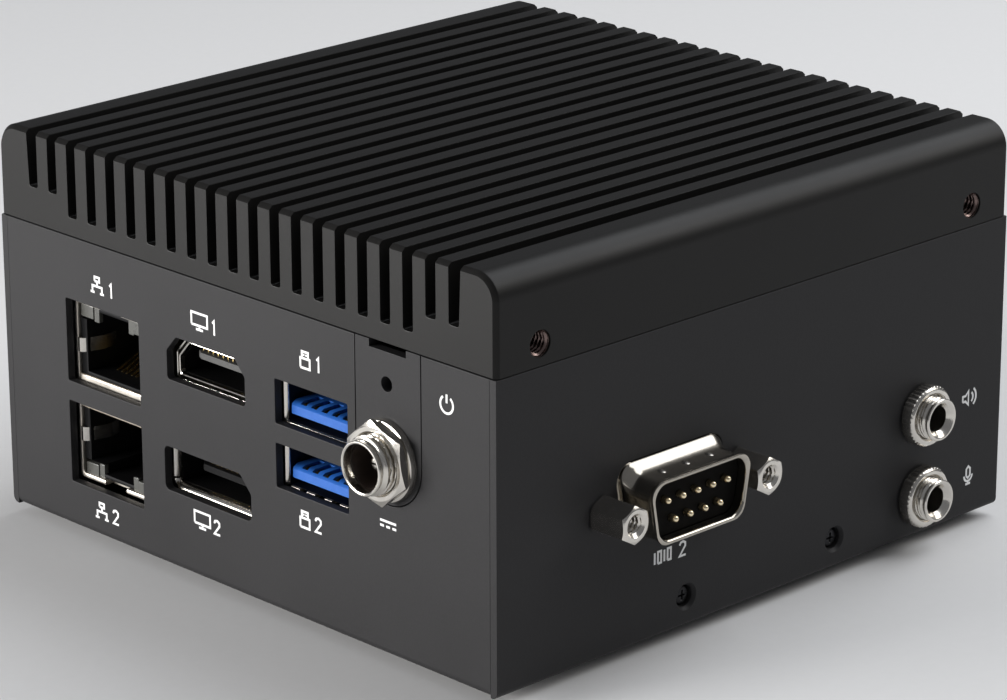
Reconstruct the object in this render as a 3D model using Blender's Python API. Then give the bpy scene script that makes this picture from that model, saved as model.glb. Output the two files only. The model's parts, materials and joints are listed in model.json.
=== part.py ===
"""A fanless mini PC: a finned heatsink lid over a folded sheet chassis, with its board and connectors inside.

Frame: metres, +Z up. The origin is the centre of the case's underside, and the feet reach below it.
The port panel faces -Y, serial port 2 and the audio jacks face +X, serial port 1 faces -X.
The numbers below are millimetres.
"""

import math

import bmesh
import bpy

MM = 0.001
GAP = 0.3  # clearance kept between pieces that touch

# --- case ---
FOOT_HEIGHT = 1.6
CASE_WIDTH = 98.0
CASE_DEPTH = 97.6
SHEET = 1.2
PARTING_HEIGHT = 42.5
CASE_HEIGHT = 55.8
BEND_RADIUS = 1.5
FRONT = -CASE_DEPTH / 2
SIDE = CASE_WIDTH / 2
INNER_SIDE = SIDE - SHEET

# --- heatsink ---
SLOT_COUNT = 21
SLOT_PITCH = 4.155
SLOT_WIDTH = 1.8
SLOT_FLOOR = 45.15
OUTER_SLOT_FLOOR = 47.8
OUTER_SLOT_FLARE = 0.3
SHORT_SLOTS_EACH_SIDE = 2
LID_EDGE_RADIUS = 3.6
LID_CHAMFER = 0.6
BRACKET_HOLE_Y = 41.2
BRACKET_HOLE_HEIGHT = 45.5
BRACKET_HOLE_RADIUS = 1.65
BRACKET_HOLE_DEPTH = 5.0

# --- board and its columns ---
BOARD_BOTTOM = 33.7
BOARD_THICKNESS = 1.6
BOARD_TOP = BOARD_BOTTOM + BOARD_THICKNESS
BOARD_WIDTH = 92.0
BOARD_DEPTH = 90.8
COLUMN_X = 42.0
COLUMN_Y = 41.5
COLUMN_ACROSS_FLATS = 5.0
STUD_RADIUS = 1.3

# --- sockets on the front panel: centre X, half width, low and high edge ---
SOCKET_FRONT = FRONT + 1.65
LAN_X = -27.7
LAN_HALF = 7.75
LAN_HEIGHTS = ((21.5, 33.4), (6.75, 18.6))
LAN_SHIELD_HALF = 8.0
LAN_SHIELD_HEIGHTS = (7.0, 33.1)
LAN_SHIELD_WALL = 0.6
HDMI_X = -6.2
HDMI_HALF = 7.9
HDMI_HEIGHTS = (27.05, 33.25)
DP_X = -6.35
DP_HALF = 8.8
DP_HEIGHTS = (11.1, 17.3)
USB_X = 14.7
USB_HALF = 7.0
USB_HEIGHTS = ((26.4, 32.5), (17.53, 23.64))

# --- power inlet and its closing plate ---
PLATE_X = 29.4
PLATE_HALF = 6.1
INLET_X = 29.2
INLET_HEIGHT = 27.0
INLET_RADIUS = 4.0
PIN_HOLE_HEIGHT = 37.1
PIN_HOLE_RADIUS = 1.0
NOTCH_HALF = 3.4
NOTCH_DEPTH = 1.0

# --- serial ports ---
COM_Y = -17.7
COM_HEIGHT = 20.1
COM_REACH = 5.3
JACKSCREW_PITCH = 25.0
JACKSCREW_REACH = 5.6
PIN_PITCH = 2.77
PIN_ROW_PITCH = 2.84
PIN_RADIUS = 0.5

# --- audio jacks ---
AUDIO_Y = 31.7
AUDIO_HEIGHTS = (17.9, 6.1)
AUDIO_RADIUS = 3.0
AUDIO_REACH = 3.4
AUDIO_NUT_RADIUS = 4.1

# --- side screws and feet ---
SIDE_SCREW_Y = 14.5
SIDE_SCREW_HEIGHT = 4.25
FOOT_AT = 34.0
FOOT_RADIUS = 4.5
FOOT_WELL_DEPTH = 0.6

MATERIALS = {
    # name: colour, metallic, roughness
    "coated_aluminium": ((0.030, 0.030, 0.033), 0.35, 0.50),
    "coated_sheet": ((0.028, 0.028, 0.031), 0.20, 0.55),
    "nickel": ((0.72, 0.70, 0.66), 1.00, 0.28),
    "black_plastic": ((0.020, 0.020, 0.022), 0.00, 0.50),
    "blue_plastic": ((0.020, 0.130, 0.650), 0.00, 0.40),
    "rubber": ((0.018, 0.018, 0.018), 0.00, 0.85),
    "board_green": ((0.015, 0.090, 0.045), 0.00, 0.45),
    "zinc_steel": ((0.55, 0.56, 0.58), 1.00, 0.35),
    "black_steel": ((0.025, 0.025, 0.027), 0.80, 0.45),
    "bare_aluminium": ((0.75, 0.76, 0.78), 1.00, 0.35),
    "pad_grey": ((0.35, 0.36, 0.40), 0.00, 0.80),
    "ribbon_grey": ((0.40, 0.41, 0.43), 0.00, 0.60),
}


def clear_scene():
    for obj in list(bpy.data.objects):
        bpy.data.objects.remove(obj, do_unlink=True)


def material(name):
    made = bpy.data.materials.get(name)
    if made:
        return made
    colour, metallic, roughness = MATERIALS[name]
    made = bpy.data.materials.new(name)
    made.use_nodes = True
    shader = made.node_tree.nodes["Principled BSDF"]
    shader.inputs["Base Color"].default_value = (*colour, 1)
    shader.inputs["Metallic"].default_value = metallic
    shader.inputs["Roughness"].default_value = roughness
    return made


# --- outlines: lists of (u, v) points, counter-clockwise ---


def box_outline(u0, v0, u1, v1):
    return [(u0, v0), (u1, v0), (u1, v1), (u0, v1)]


def circle(centre, radius, sides):
    angles = [2 * math.pi * i / sides for i in range(sides)]
    return [(centre[0] + radius * math.cos(a), centre[1] + radius * math.sin(a)) for a in angles]


def hexagon(centre, across, sides, turn=0.0):
    """A hexagon drawn with a multiple of six points, so that it joins rings of circles."""
    points = []
    for i in range(sides):
        angle = 2 * math.pi * i / sides
        off = (angle - turn + math.pi / 6) % (math.pi / 3) - math.pi / 6
        reach = across / 2 / math.cos(off)
        points.append((centre[0] + reach * math.cos(angle), centre[1] + reach * math.sin(angle)))
    return points


def arc(centre, radius, start_deg, end_deg, steps):
    points = []
    for i in range(steps + 1):
        angle = math.radians(start_deg + (end_deg - start_deg) * i / steps)
        points.append((centre[0] + radius * math.cos(angle), centre[1] + radius * math.sin(angle)))
    return points


def rounded(corners, radius, steps):
    """A convex outline with each corner turned into an arc of steps + 1 points."""
    points = []
    count = len(corners)
    for i, corner in enumerate(corners):
        before, after = corners[i - 1], corners[(i + 1) % count]
        into = math.atan2(corner[1] - before[1], corner[0] - before[0])
        out = math.atan2(after[1] - corner[1], after[0] - corner[0])
        turn = (out - into) % (2 * math.pi)
        back = radius * math.tan(turn / 2)
        start = (corner[0] - back * math.cos(into), corner[1] - back * math.sin(into))
        centre = (start[0] - radius * math.sin(into), start[1] + radius * math.cos(into))
        first = math.degrees(into) - 90
        points += arc(centre, radius, first, first + math.degrees(turn), steps)
    return points


def dee(centre, width, height, radius, steps):
    """The D of a serial connector, wide at the top, its sides sloping ten degrees."""
    slope = height * math.tan(math.radians(10))
    u, v = centre
    low, top = width / 2 - slope, width / 2
    half = height / 2
    corners = [(u - low, v - half), (u + low, v - half), (u + top, v + half), (u - top, v + half)]
    return rounded(corners, radius, steps)


def place(outline, axis, at):
    """The outline's points in space, on the plane across the axis at that distance."""
    if axis == "x":
        return [(at, u, v) for u, v in outline]
    if axis == "y":
        return [(u, at, v) for u, v in outline]
    return [(u, v, at) for u, v in outline]


# --- solids ---


def add_object(name, bm, finish):
    bmesh.ops.recalc_face_normals(bm, faces=bm.faces)
    mesh = bpy.data.meshes.new(name)
    bm.to_mesh(mesh)
    bm.free()
    mesh.shade_smooth()
    mesh.set_sharp_from_angle(angle=math.radians(32))
    obj = bpy.data.objects.new(name, mesh)
    bpy.context.scene.collection.objects.link(obj)
    if finish:
        mesh.materials.append(material(finish))
    return obj


def loft(name, rings, finish=None, tube=False):
    """A closed skin over rings of equal count.

    A ring of one point is an apex, and a tube joins its last ring to its first.
    """
    bm = bmesh.new()
    made = [[bm.verts.new([c * MM for c in point]) for point in ring] for ring in rings]
    following = made[1:] + (made[:1] if tube else [])
    for ring, after in zip(made, following):
        count = max(len(ring), len(after))
        for i in range(count):
            j = (i + 1) % count
            corners = []
            for loop, k in ((ring, i), (ring, j), (after, j), (after, i)):
                vert = loop[k % len(loop)]
                if vert not in corners:
                    corners.append(vert)
            bm.faces.new(corners)
    if not tube:
        for end in (made[0], made[-1]):
            if len(end) > 2:
                bm.faces.new(end)
    return add_object(name, bm, finish)


def prism(name, outline, axis, start, end, finish=None):
    return loft(name, [place(outline, axis, start), place(outline, axis, end)], finish)


def block(name, low, high, finish=None):
    return prism(name, box_outline(low[0], low[1], high[0], high[1]), "z", low[2], high[2], finish)


def turned(name, axis, centre, stations, sides, finish=None, tube=False, turn=0.0):
    """A piece turned about an axis: stations of (distance, radius), or (distance, across flats, "hex")."""
    rings = []
    for station in stations:
        if len(station) == 3:
            outline = hexagon(centre, station[1], sides, turn)
        elif station[1] == 0:
            outline = [centre]
        else:
            outline = circle(centre, station[1], sides)
        rings.append(place(outline, axis, station[0]))
    return loft(name, rings, finish, tube)


def combine(target, other, operation):
    """Adds or cuts the other solid with a Boolean modifier, and keeps it only as a helper."""
    modifier = target.modifiers.new(other.name, "BOOLEAN")
    modifier.operation = operation
    modifier.object = other
    modifier.solver = "EXACT"
    other.hide_render = True
    other.display_type = "WIRE"


def cut(target, other):
    combine(target, other, "DIFFERENCE")


def join(target, other):
    combine(target, other, "UNION")


# --- case ---


def lid_outline():
    """Cross-section of the extruded heatsink across its fins."""
    bottom, top = PARTING_HEIGHT + GAP / 2, CASE_HEIGHT
    points = [(-SIDE, bottom), (SIDE, bottom)]
    points += arc((SIDE - LID_EDGE_RADIUS, top - LID_EDGE_RADIUS), LID_EDGE_RADIUS, 0, 90, 6)
    middle = (SLOT_COUNT - 1) / 2
    for i in reversed(range(SLOT_COUNT)):
        centre = (i - middle) * SLOT_PITCH
        from_end = min(i, SLOT_COUNT - 1 - i)
        floor = OUTER_SLOT_FLOOR if from_end < SHORT_SLOTS_EACH_SIDE else SLOT_FLOOR
        left, right = centre - SLOT_WIDTH / 2, centre + SLOT_WIDTH / 2
        flare_left = OUTER_SLOT_FLARE if i == 0 else 0
        flare_right = OUTER_SLOT_FLARE if i == SLOT_COUNT - 1 else 0
        points += [(right + flare_right, top), (right, floor), (left, floor), (left - flare_left, top)]
    points += arc((LID_EDGE_RADIUS - SIDE, top - LID_EDGE_RADIUS), LID_EDGE_RADIUS, 90, 180, 6)
    return points


def make_lid():
    lid = prism("heatsink_lid", lid_outline(), "y", FRONT, -FRONT, "coated_aluminium")
    top = CASE_HEIGHT
    reach = 3.0
    for end, side in (("front", 1), ("rear", -1)):
        edge = [
            (side * (FRONT - reach), top - LID_CHAMFER - reach),
            (side * (FRONT + LID_CHAMFER + reach), top + reach),
            (side * (FRONT - reach), top + reach),
        ]
        cut(lid, prism(f"cut_chamfer_{end}", edge, "x", -SIDE - reach, SIDE + reach))
    boss_low, boss_high = BOARD_TOP + GAP, PARTING_HEIGHT + 1.5
    for x in (-COLUMN_X, COLUMN_X):
        for y in (-COLUMN_Y, COLUMN_Y):
            tag = f"{'l' if x < 0 else 'r'}{'f' if y < 0 else 'b'}"
            stations = [(boss_low, 0), (boss_low, 3.0), (boss_high, 3.0), (boss_high, 0)]
            join(lid, turned(f"add_boss_{tag}", "z", (x, y), stations, 12))
            bore = STUD_RADIUS + GAP
            stations = [(boss_low - 1, 0), (boss_low - 1, bore), (boss_low + 5, bore), (boss_low + 5, 0)]
            cut(lid, turned(f"cut_boss_{tag}", "z", (x, y), stations, 12))
    for side in (-1, 1):
        for y in (-BRACKET_HOLE_Y, BRACKET_HOLE_Y):
            outer, inner = side * (SIDE + 1), side * (SIDE - BRACKET_HOLE_DEPTH)
            stations = [(outer, 0), (outer, BRACKET_HOLE_RADIUS), (inner, BRACKET_HOLE_RADIUS), (inner, 0)]
            cut(lid, turned(f"cut_bracket_{side}_{y}", "x", (y, BRACKET_HOLE_HEIGHT), stations, 16))


def drawn_in(corners, centre, half_width, half_height, inset):
    """The corners moved in towards the centre, by about the inset at the edges."""
    u, v = centre
    return [(a + (u - a) * inset / half_width, b + (v - b) * inset / half_height) for a, b in corners]


def hdmi_outline(inset):
    """The socket's outline on an upside-down board: full width below, narrower above."""
    u, low, high, half = HDMI_X, *HDMI_HEIGHTS, HDMI_HALF
    corners = [
        (u - half, low),
        (u + half, low),
        (u + half, low + 3.9),
        (u + half - 2.0, high),
        (u - half + 2.0, high),
        (u - half, low + 3.9),
    ]
    middle = ((low + high) / 2, (high - low) / 2)
    return rounded(drawn_in(corners, (u, middle[0]), half, middle[1], inset), 0.5, 2)


def dp_outline(inset):
    """The socket's outline on an upside-down board: one upper corner is cut."""
    u, low, high, half = DP_X, *DP_HEIGHTS, DP_HALF
    corners = [
        (u - half, low),
        (u + half, low),
        (u + half, high - 2.4),
        (u + half - 2.2, high),
        (u - half, high),
    ]
    middle = ((low + high) / 2, (high - low) / 2)
    return rounded(drawn_in(corners, (u, middle[0]), half, middle[1], inset), 0.5, 2)


def plate_outline():
    """The power inlet's plate, round below and notched at the parting line."""
    top = PARTING_HEIGHT - GAP / 2
    half = PLATE_HALF - GAP / 2
    points = arc((PLATE_X, INLET_HEIGHT), half, 180, 360, 12)
    points += [(PLATE_X + half, top), (PLATE_X + NOTCH_HALF, top), (PLATE_X + NOTCH_HALF, top - NOTCH_DEPTH)]
    points += [(PLATE_X - NOTCH_HALF, top - NOTCH_DEPTH), (PLATE_X - NOTCH_HALF, top), (PLATE_X - half, top)]
    return points


def plate_backing_outline():
    """The wider plate behind the front panel, which stops the insert from falling out."""
    half = PLATE_HALF + 1.0
    top = PARTING_HEIGHT - NOTCH_DEPTH - 1.0
    return arc((PLATE_X, INLET_HEIGHT), half, 180, 360, 12) + [(PLATE_X + half, top), (PLATE_X - half, top)]


def plate_slot_outline():
    """The slot that the plate slides down into, open at the top of the front panel."""
    half = PLATE_HALF + GAP / 2
    top = PARTING_HEIGHT + 2
    return arc((PLATE_X, INLET_HEIGHT), half, 180, 360, 12) + [(PLATE_X + half, top), (PLATE_X - half, top)]


def chassis_outline():
    """Cross-section of the folded sheet: front panel, bottom and rear panel."""
    top = PARTING_HEIGHT - GAP / 2
    bottom = 0
    outer = arc((FRONT + BEND_RADIUS, bottom + BEND_RADIUS), BEND_RADIUS, 180, 270, 3)
    outer += arc((-FRONT - BEND_RADIUS, bottom + BEND_RADIUS), BEND_RADIUS, 270, 360, 3)
    inner_front, inner_bottom = FRONT + SHEET, bottom + SHEET
    points = [(FRONT, top)] + outer + [(-FRONT, top), (-inner_front, top)]
    return points + [(-inner_front, inner_bottom), (inner_front, inner_bottom), (inner_front, top)]


def foot_places():
    return [(x, y) for x in (-FOOT_AT, FOOT_AT) for y in (-FOOT_AT, FOOT_AT)]


def make_chassis():
    half = INNER_SIDE - GAP
    chassis = prism("chassis", chassis_outline(), "x", -half, half, "coated_sheet")
    for side in (-1, 1):
        low, high = sorted((side * (half - SHEET), side * half))
        join(chassis, block(f"add_lip_{side}", (low, -22, 0.5), (high, 22, 9)))
        for y in (-SIDE_SCREW_Y, SIDE_SCREW_Y):
            hole = circle((y, SIDE_SCREW_HEIGHT), 1.1, 12)
            cut(chassis, prism(f"cut_lip_{side}_{y}", hole, "x", side * (half - 3), side * (half + 1)))
    near, far = FRONT - 1, FRONT + SHEET + 1
    square = (("lan", LAN_X, LAN_HALF, LAN_HEIGHTS), ("usb", USB_X, USB_HALF, USB_HEIGHTS))
    for socket, x, width, heights in square:
        for i, (low, high) in enumerate(heights, 1):
            hole = box_outline(x - width, low, x + width, high)
            cut(chassis, prism(f"cut_{socket}_{i}", hole, "y", near, far))
    cut(chassis, prism("cut_hdmi", hdmi_outline(0), "y", near, far))
    cut(chassis, prism("cut_dp", dp_outline(0), "y", near, far))
    cut(chassis, prism("cut_plate", plate_slot_outline(), "y", near, far))
    for x in (-COLUMN_X, COLUMN_X):
        for y in (-COLUMN_Y, COLUMN_Y):
            tag = f"{'l' if x < 0 else 'r'}{'f' if y < 0 else 'b'}"
            stations = [(-1, 0), (-1, 4.2), (SHEET + 0.1, 1.8), (SHEET + 1, 1.8), (SHEET + 1, 0)]
            cut(chassis, turned(f"cut_bottom_screw_{tag}", "z", (x, y), stations, 16))
    for x, y in foot_places():
        well = circle((x, y), FOOT_RADIUS + GAP, 16)
        cut(chassis, prism(f"cut_well_{x}_{y}", well, "z", -1, FOOT_WELL_DEPTH))


def make_side_panels():
    round_edge = 1.0
    top = PARTING_HEIGHT - GAP / 2
    for name, side in (("side_panel_right", 1), ("side_panel_left", -1)):
        profile = [(side * INNER_SIDE, 0), (side * INNER_SIDE, top), (side * SIDE, top)]
        centre = (side * (SIDE - round_edge), round_edge)
        start, end = (0, -90) if side > 0 else (180, 270)
        profile += arc(centre, round_edge, start, end, 4)
        panel = prism(name, profile, "y", FRONT, -FRONT, "coated_sheet")
        near, far = side * (INNER_SIDE - 1), side * (SIDE + 1)
        cut(panel, prism(f"cut_dee_{side}", dee((COM_Y, COM_HEIGHT), 20.6, 11.4, 2.6, 4), "x", near, far))
        for step in (-1, 1):
            screw = circle((COM_Y + step * JACKSCREW_PITCH / 2, COM_HEIGHT), 1.75, 12)
            cut(panel, prism(f"cut_jackscrew_{side}_{step}", screw, "x", near, far))
            lower = circle((step * SIDE_SCREW_Y, SIDE_SCREW_HEIGHT), 1.55, 14)
            cut(panel, prism(f"cut_side_screw_{side}_{step}", lower, "x", near, far))
        if side > 0:
            for height in AUDIO_HEIGHTS:
                hole = circle((AUDIO_Y, height), AUDIO_RADIUS + GAP, 20)
                cut(panel, prism(f"cut_audio_{height}", hole, "x", near, far))


def make_power_plate():
    step = FRONT + SHEET + GAP
    back = step + 1.0
    plate = prism("power_plate", plate_outline(), "y", FRONT, step + 0.5, "coated_sheet")
    join(plate, prism("add_backing", plate_backing_outline(), "y", step, back))
    hole = circle((INLET_X, INLET_HEIGHT), INLET_RADIUS + GAP, 20)
    cut(plate, prism("cut_inlet", hole, "y", FRONT - 1, back + 1))
    hole = circle((INLET_X, PIN_HOLE_HEIGHT), PIN_HOLE_RADIUS, 14)
    cut(plate, prism("cut_pin_hole", hole, "y", FRONT - 1, back + 1))


def make_feet():
    """Rubber feet, stuck into shallow round wells in the underside."""
    sole, top = -FOOT_HEIGHT, FOOT_WELL_DEPTH - GAP
    for number, centre in enumerate(foot_places(), 1):
        stations = [
            (sole, 0),
            (sole, FOOT_RADIUS - 0.4),
            (sole + 0.4, FOOT_RADIUS),
            (top, FOOT_RADIUS),
            (top, 0),
        ]
        turned(f"foot_{number}", "z", centre, stations, 16, "rubber")


def make_columns_and_screws():
    """Hexagonal columns with their bottom screws, and the small screws of the side panels."""
    number = 0
    for x in (-1, 1):
        for y in (-1, 1):
            number += 1
            centre = (x * COLUMN_X, y * COLUMN_Y)
            low, high = SHEET + GAP, BOARD_BOTTOM - GAP
            bore = 1.65
            stations = [
                (low + 7, 0),
                (low + 7, bore),
                (low, bore),
                (low, COLUMN_ACROSS_FLATS, "hex"),
                (high, COLUMN_ACROSS_FLATS, "hex"),
                (high, STUD_RADIUS),
                (BOARD_TOP + 4.5, STUD_RADIUS),
                (BOARD_TOP + 4.5, 0),
            ]
            turned(f"column_{number}", "z", centre, stations, 12, "zinc_steel")
            stations = [
                (0.75, 0),
                (0.75, 0.8),
                (0.12, 0.8),
                (0.12, 2.55),
                (0.3, 2.55),
                (1.25, 1.35),
                (7.5, 1.35),
                (7.5, 0),
            ]
            turned(f"bottom_screw_{number}", "z", centre, stations, 12, "black_steel")
    number = 0
    for side in (-1, 1):
        for y in (-SIDE_SCREW_Y, SIDE_SCREW_Y):
            number += 1
            out = side * (SIDE - 0.35)
            stations = [
                (out - side * 0.35, 0),
                (out - side * 0.35, 0.55),
                (out, 0.55),
                (out, 1.25),
                (side * (INNER_SIDE - GAP / 2), 0.8),
                (side * (INNER_SIDE - 4), 0.8),
                (side * (INNER_SIDE - 4), 0),
            ]
            turned(f"side_screw_{number}", "x", (y, SIDE_SCREW_HEIGHT), stations, 12, "black_steel")


# --- board and what is on it ---


def make_board():
    corners = box_outline(-BOARD_WIDTH / 2, -BOARD_DEPTH / 2, BOARD_WIDTH / 2, BOARD_DEPTH / 2)
    board = prism("main_board", rounded(corners, 1.5, 2), "z", BOARD_BOTTOM, BOARD_TOP, "board_green")
    for x in (-COLUMN_X, COLUMN_X):
        for y in (-COLUMN_Y, COLUMN_Y):
            hole = circle((x, y), STUD_RADIUS + GAP, 12)
            cut(board, prism(f"cut_board_{x}_{y}", hole, "z", BOARD_BOTTOM - 1, BOARD_TOP + 1))
    top = BOARD_TOP + GAP
    block("processor", (-13, -11, top), (13, 13, top + 1.2), "black_plastic")
    block("thermal_pad", (-12, -10, top + 1.5), (12, 12, top + 2.0), "pad_grey")
    block("heat_block", (-17, -15, top + 2.3), (17, 17, PARTING_HEIGHT - GAP / 2), "bare_aluminium")
    under = BOARD_BOTTOM - GAP
    block("memory_socket", (-36, 38.3, 27.8), (36, 44.3, under), "black_plastic")
    block("memory_module", (-33.8, 8, 29.3), (33.8, 38, 30.5), "board_green")
    block("storage_socket", (-23.5, -21, 28.9), (-17.3, 1, under), "black_plastic")
    block("storage_module", (-17, -21, 30.0), (25, 1, 30.9), "board_green")
    stations = [(under - 2.0, 0), (under - 2.0, 6.25), (under, 6.25), (under, 0)]
    turned("backup_cell", "z", (-34.5, -3), stations, 20, "zinc_steel")


def make_power_button():
    """The edge switch on top of the board, behind the pin hole, and its sliding plunger."""
    middle = PIN_HOLE_HEIGHT
    front, pocket, back = FRONT + 3.6, FRONT + 6.2, FRONT + 7.4
    body = box_outline(INLET_X - 3.6, BOARD_TOP + GAP, INLET_X + 3.6, 2 * middle - BOARD_TOP - GAP)
    mouth = box_outline(INLET_X - 1.7, middle - 1.0, INLET_X + 1.7, middle + 1.0)
    sections = [(body, back), (body, front), (mouth, front), (mouth, pocket)]
    loft("power_switch", [place(outline, "y", at) for outline, at in sections], "black_plastic")
    end = box_outline(INLET_X - 1.3, middle - 0.65, INLET_X + 1.3, middle + 0.65)
    button = prism("power_button", end, "y", 0, 2.6, "black_plastic")
    button.location = (0, (FRONT + 2.9) * MM, 0)


# --- front sockets ---


def sleeve(name, outer, inner, front, back, finish):
    """A thin-walled shell, open at both ends."""
    sections = [(outer, front), (outer, back), (inner, back), (inner, front)]
    return loft(name, [place(outline, "y", at) for outline, at in sections], finish, tube=True)


def tongue(name, base, tip, base_back, base_front, tip_front, finish):
    """A base block with a thinner tongue reaching forward out of it."""
    sections = [(base, base_back), (base, base_front), (tip, base_front), (tip, tip_front)]
    return loft(name, [place(outline, "y", at) for outline, at in sections], finish)


def make_network_sockets():
    low, high = LAN_SHIELD_HEIGHTS
    front, back = SOCKET_FRONT, SOCKET_FRONT + 21.3

    def section(inset):
        half = LAN_SHIELD_HALF - inset
        return box_outline(LAN_X - half, low + inset, LAN_X + half, high - inset)

    sleeve("network_shield", section(0), section(LAN_SHIELD_WALL), front, back, "nickel")
    fill = section(LAN_SHIELD_WALL + GAP)
    body = prism("network_socket", fill, "y", front + 0.6, back - 0.8, "black_plastic")
    depth = front + 14.5
    for i, (socket_low, socket_high) in enumerate(LAN_HEIGHTS, 1):
        if i == 1:
            plug = (socket_low + 1.3, socket_low + 8.9)
            latch = (socket_low + 4, socket_high - 1.6)
        else:
            plug = (socket_high - 8.9, socket_high - 1.3)
            latch = (socket_low + 1.6, socket_high - 4)
        for part, width, (bottom, top) in (("plug", 5.95, plug), ("latch", 3.1, latch)):
            bay = box_outline(LAN_X - width, bottom, LAN_X + width, top)
            cut(body, prism(f"cut_{part}_{i}", bay, "y", front - 1, depth))


def make_video_sockets():
    front = SOCKET_FRONT
    sleeve("hdmi_shell", hdmi_outline(0.2), hdmi_outline(0.7), front, front + 11.5, "nickel")
    base = box_outline(HDMI_X - 5.2, 27.95, HDMI_X + 5.2, 32.2)
    blade = box_outline(HDMI_X - 5.15, 30.0, HDMI_X + 5.15, 31.1)
    tongue("hdmi_insert", base, blade, front + 11.3, front + 8.2, front + 1.2, "black_plastic")
    sleeve("dp_shell", dp_outline(0.2), dp_outline(0.7), front, front + 13.5, "nickel")
    base = box_outline(DP_X - 6.0, 12.1, DP_X + 6.0, 16.2)
    blade = box_outline(DP_X - 5.9, 13.5, DP_X + 5.9, 14.7)
    tongue("dp_insert", base, blade, front + 13.3, front + 10, front + 2.2, "black_plastic")


def make_usb_sockets():
    front, back = SOCKET_FRONT, SOCKET_FRONT + 17.0
    low, high = 17.0, BOARD_BOTTOM - GAP
    shell = block("usb_shell", (USB_X - 7.3, front, low), (USB_X + 7.3, back, high), "nickel")
    for i, (bay_low, _) in enumerate(USB_HEIGHTS, 1):
        bay = box_outline(USB_X - 6.6, bay_low - 0.05, USB_X + 6.6, bay_low + 5.3)
        cut(shell, prism(f"cut_bay_{i}", bay, "y", front - 1, back - 1))
        base = box_outline(USB_X - 6.2, bay_low + 0.35, USB_X + 6.2, bay_low + 4.9)
        blade = box_outline(USB_X - 5.7, bay_low + 1.05, USB_X + 5.7, bay_low + 2.85)
        tongue(f"usb_tongue_{i}", base, blade, back - 1.3, back - 4.2, front + 0.3, "blue_plastic")


def make_power_inlet():
    centre = (INLET_X, INLET_HEIGHT)
    behind = FRONT + SHEET + 1.0 + 2 * GAP
    radius, bore = INLET_RADIUS, 3.1
    stations = [
        (FRONT - 4.3, radius),
        (behind, radius),
        (behind, 5.2),
        (behind + 2.0, 5.2),
        (behind + 2.0, bore),
        (FRONT - 4.2, bore),
        (FRONT - 4.7, bore + 0.35),
        (FRONT - 4.7, radius - 0.4),
    ]
    turned("inlet_barrel", "y", centre, stations, 20, "nickel", tube=True)
    near = FRONT - GAP
    hole = radius + GAP
    stations = [(near, 5.85), (near, hole), (near - 0.7, hole), (near - 0.7, 5.85)]
    turned("inlet_washer", "y", centre, stations, 20, "nickel", tube=True)
    near -= 0.7 + GAP
    stations = [(near, 10.0, "hex"), (near, hole), (near - 1.6, hole), (near - 1.6, 10.0, "hex")]
    turned("inlet_nut", "y", centre, stations, 24, "nickel", tube=True, turn=math.radians(10))
    rear = behind + 9.0
    stations = [
        (rear, 0),
        (rear, 5.0),
        (behind + 2.0 + GAP, 5.0),
        (behind + 2.0 + GAP, bore - GAP),
        (FRONT + 1.0, bore - GAP),
        (FRONT + 1.0, 1.35),
        (FRONT + 7.5, 1.35),
        (FRONT + 7.5, 0),
    ]
    turned("inlet_insulator", "y", centre, stations, 16, "black_plastic")
    stations = [
        (FRONT + 7.2, 0),
        (FRONT + 7.2, 1.0),
        (FRONT - 2.6, 1.0),
        (FRONT - 3.1, 0.6),
        (FRONT - 3.1, 0),
    ]
    turned("inlet_pin", "y", centre, stations, 12, "nickel")


# --- side sockets ---


def pin_places():
    """Centres of the nine pins: five above, four below."""
    places = []
    for count, row in ((5, 0.5), (4, -0.5)):
        for i in range(count):
            places.append((COM_Y + (i - (count - 1) / 2) * PIN_PITCH, COM_HEIGHT + row * PIN_ROW_PITCH))
    return places


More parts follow.
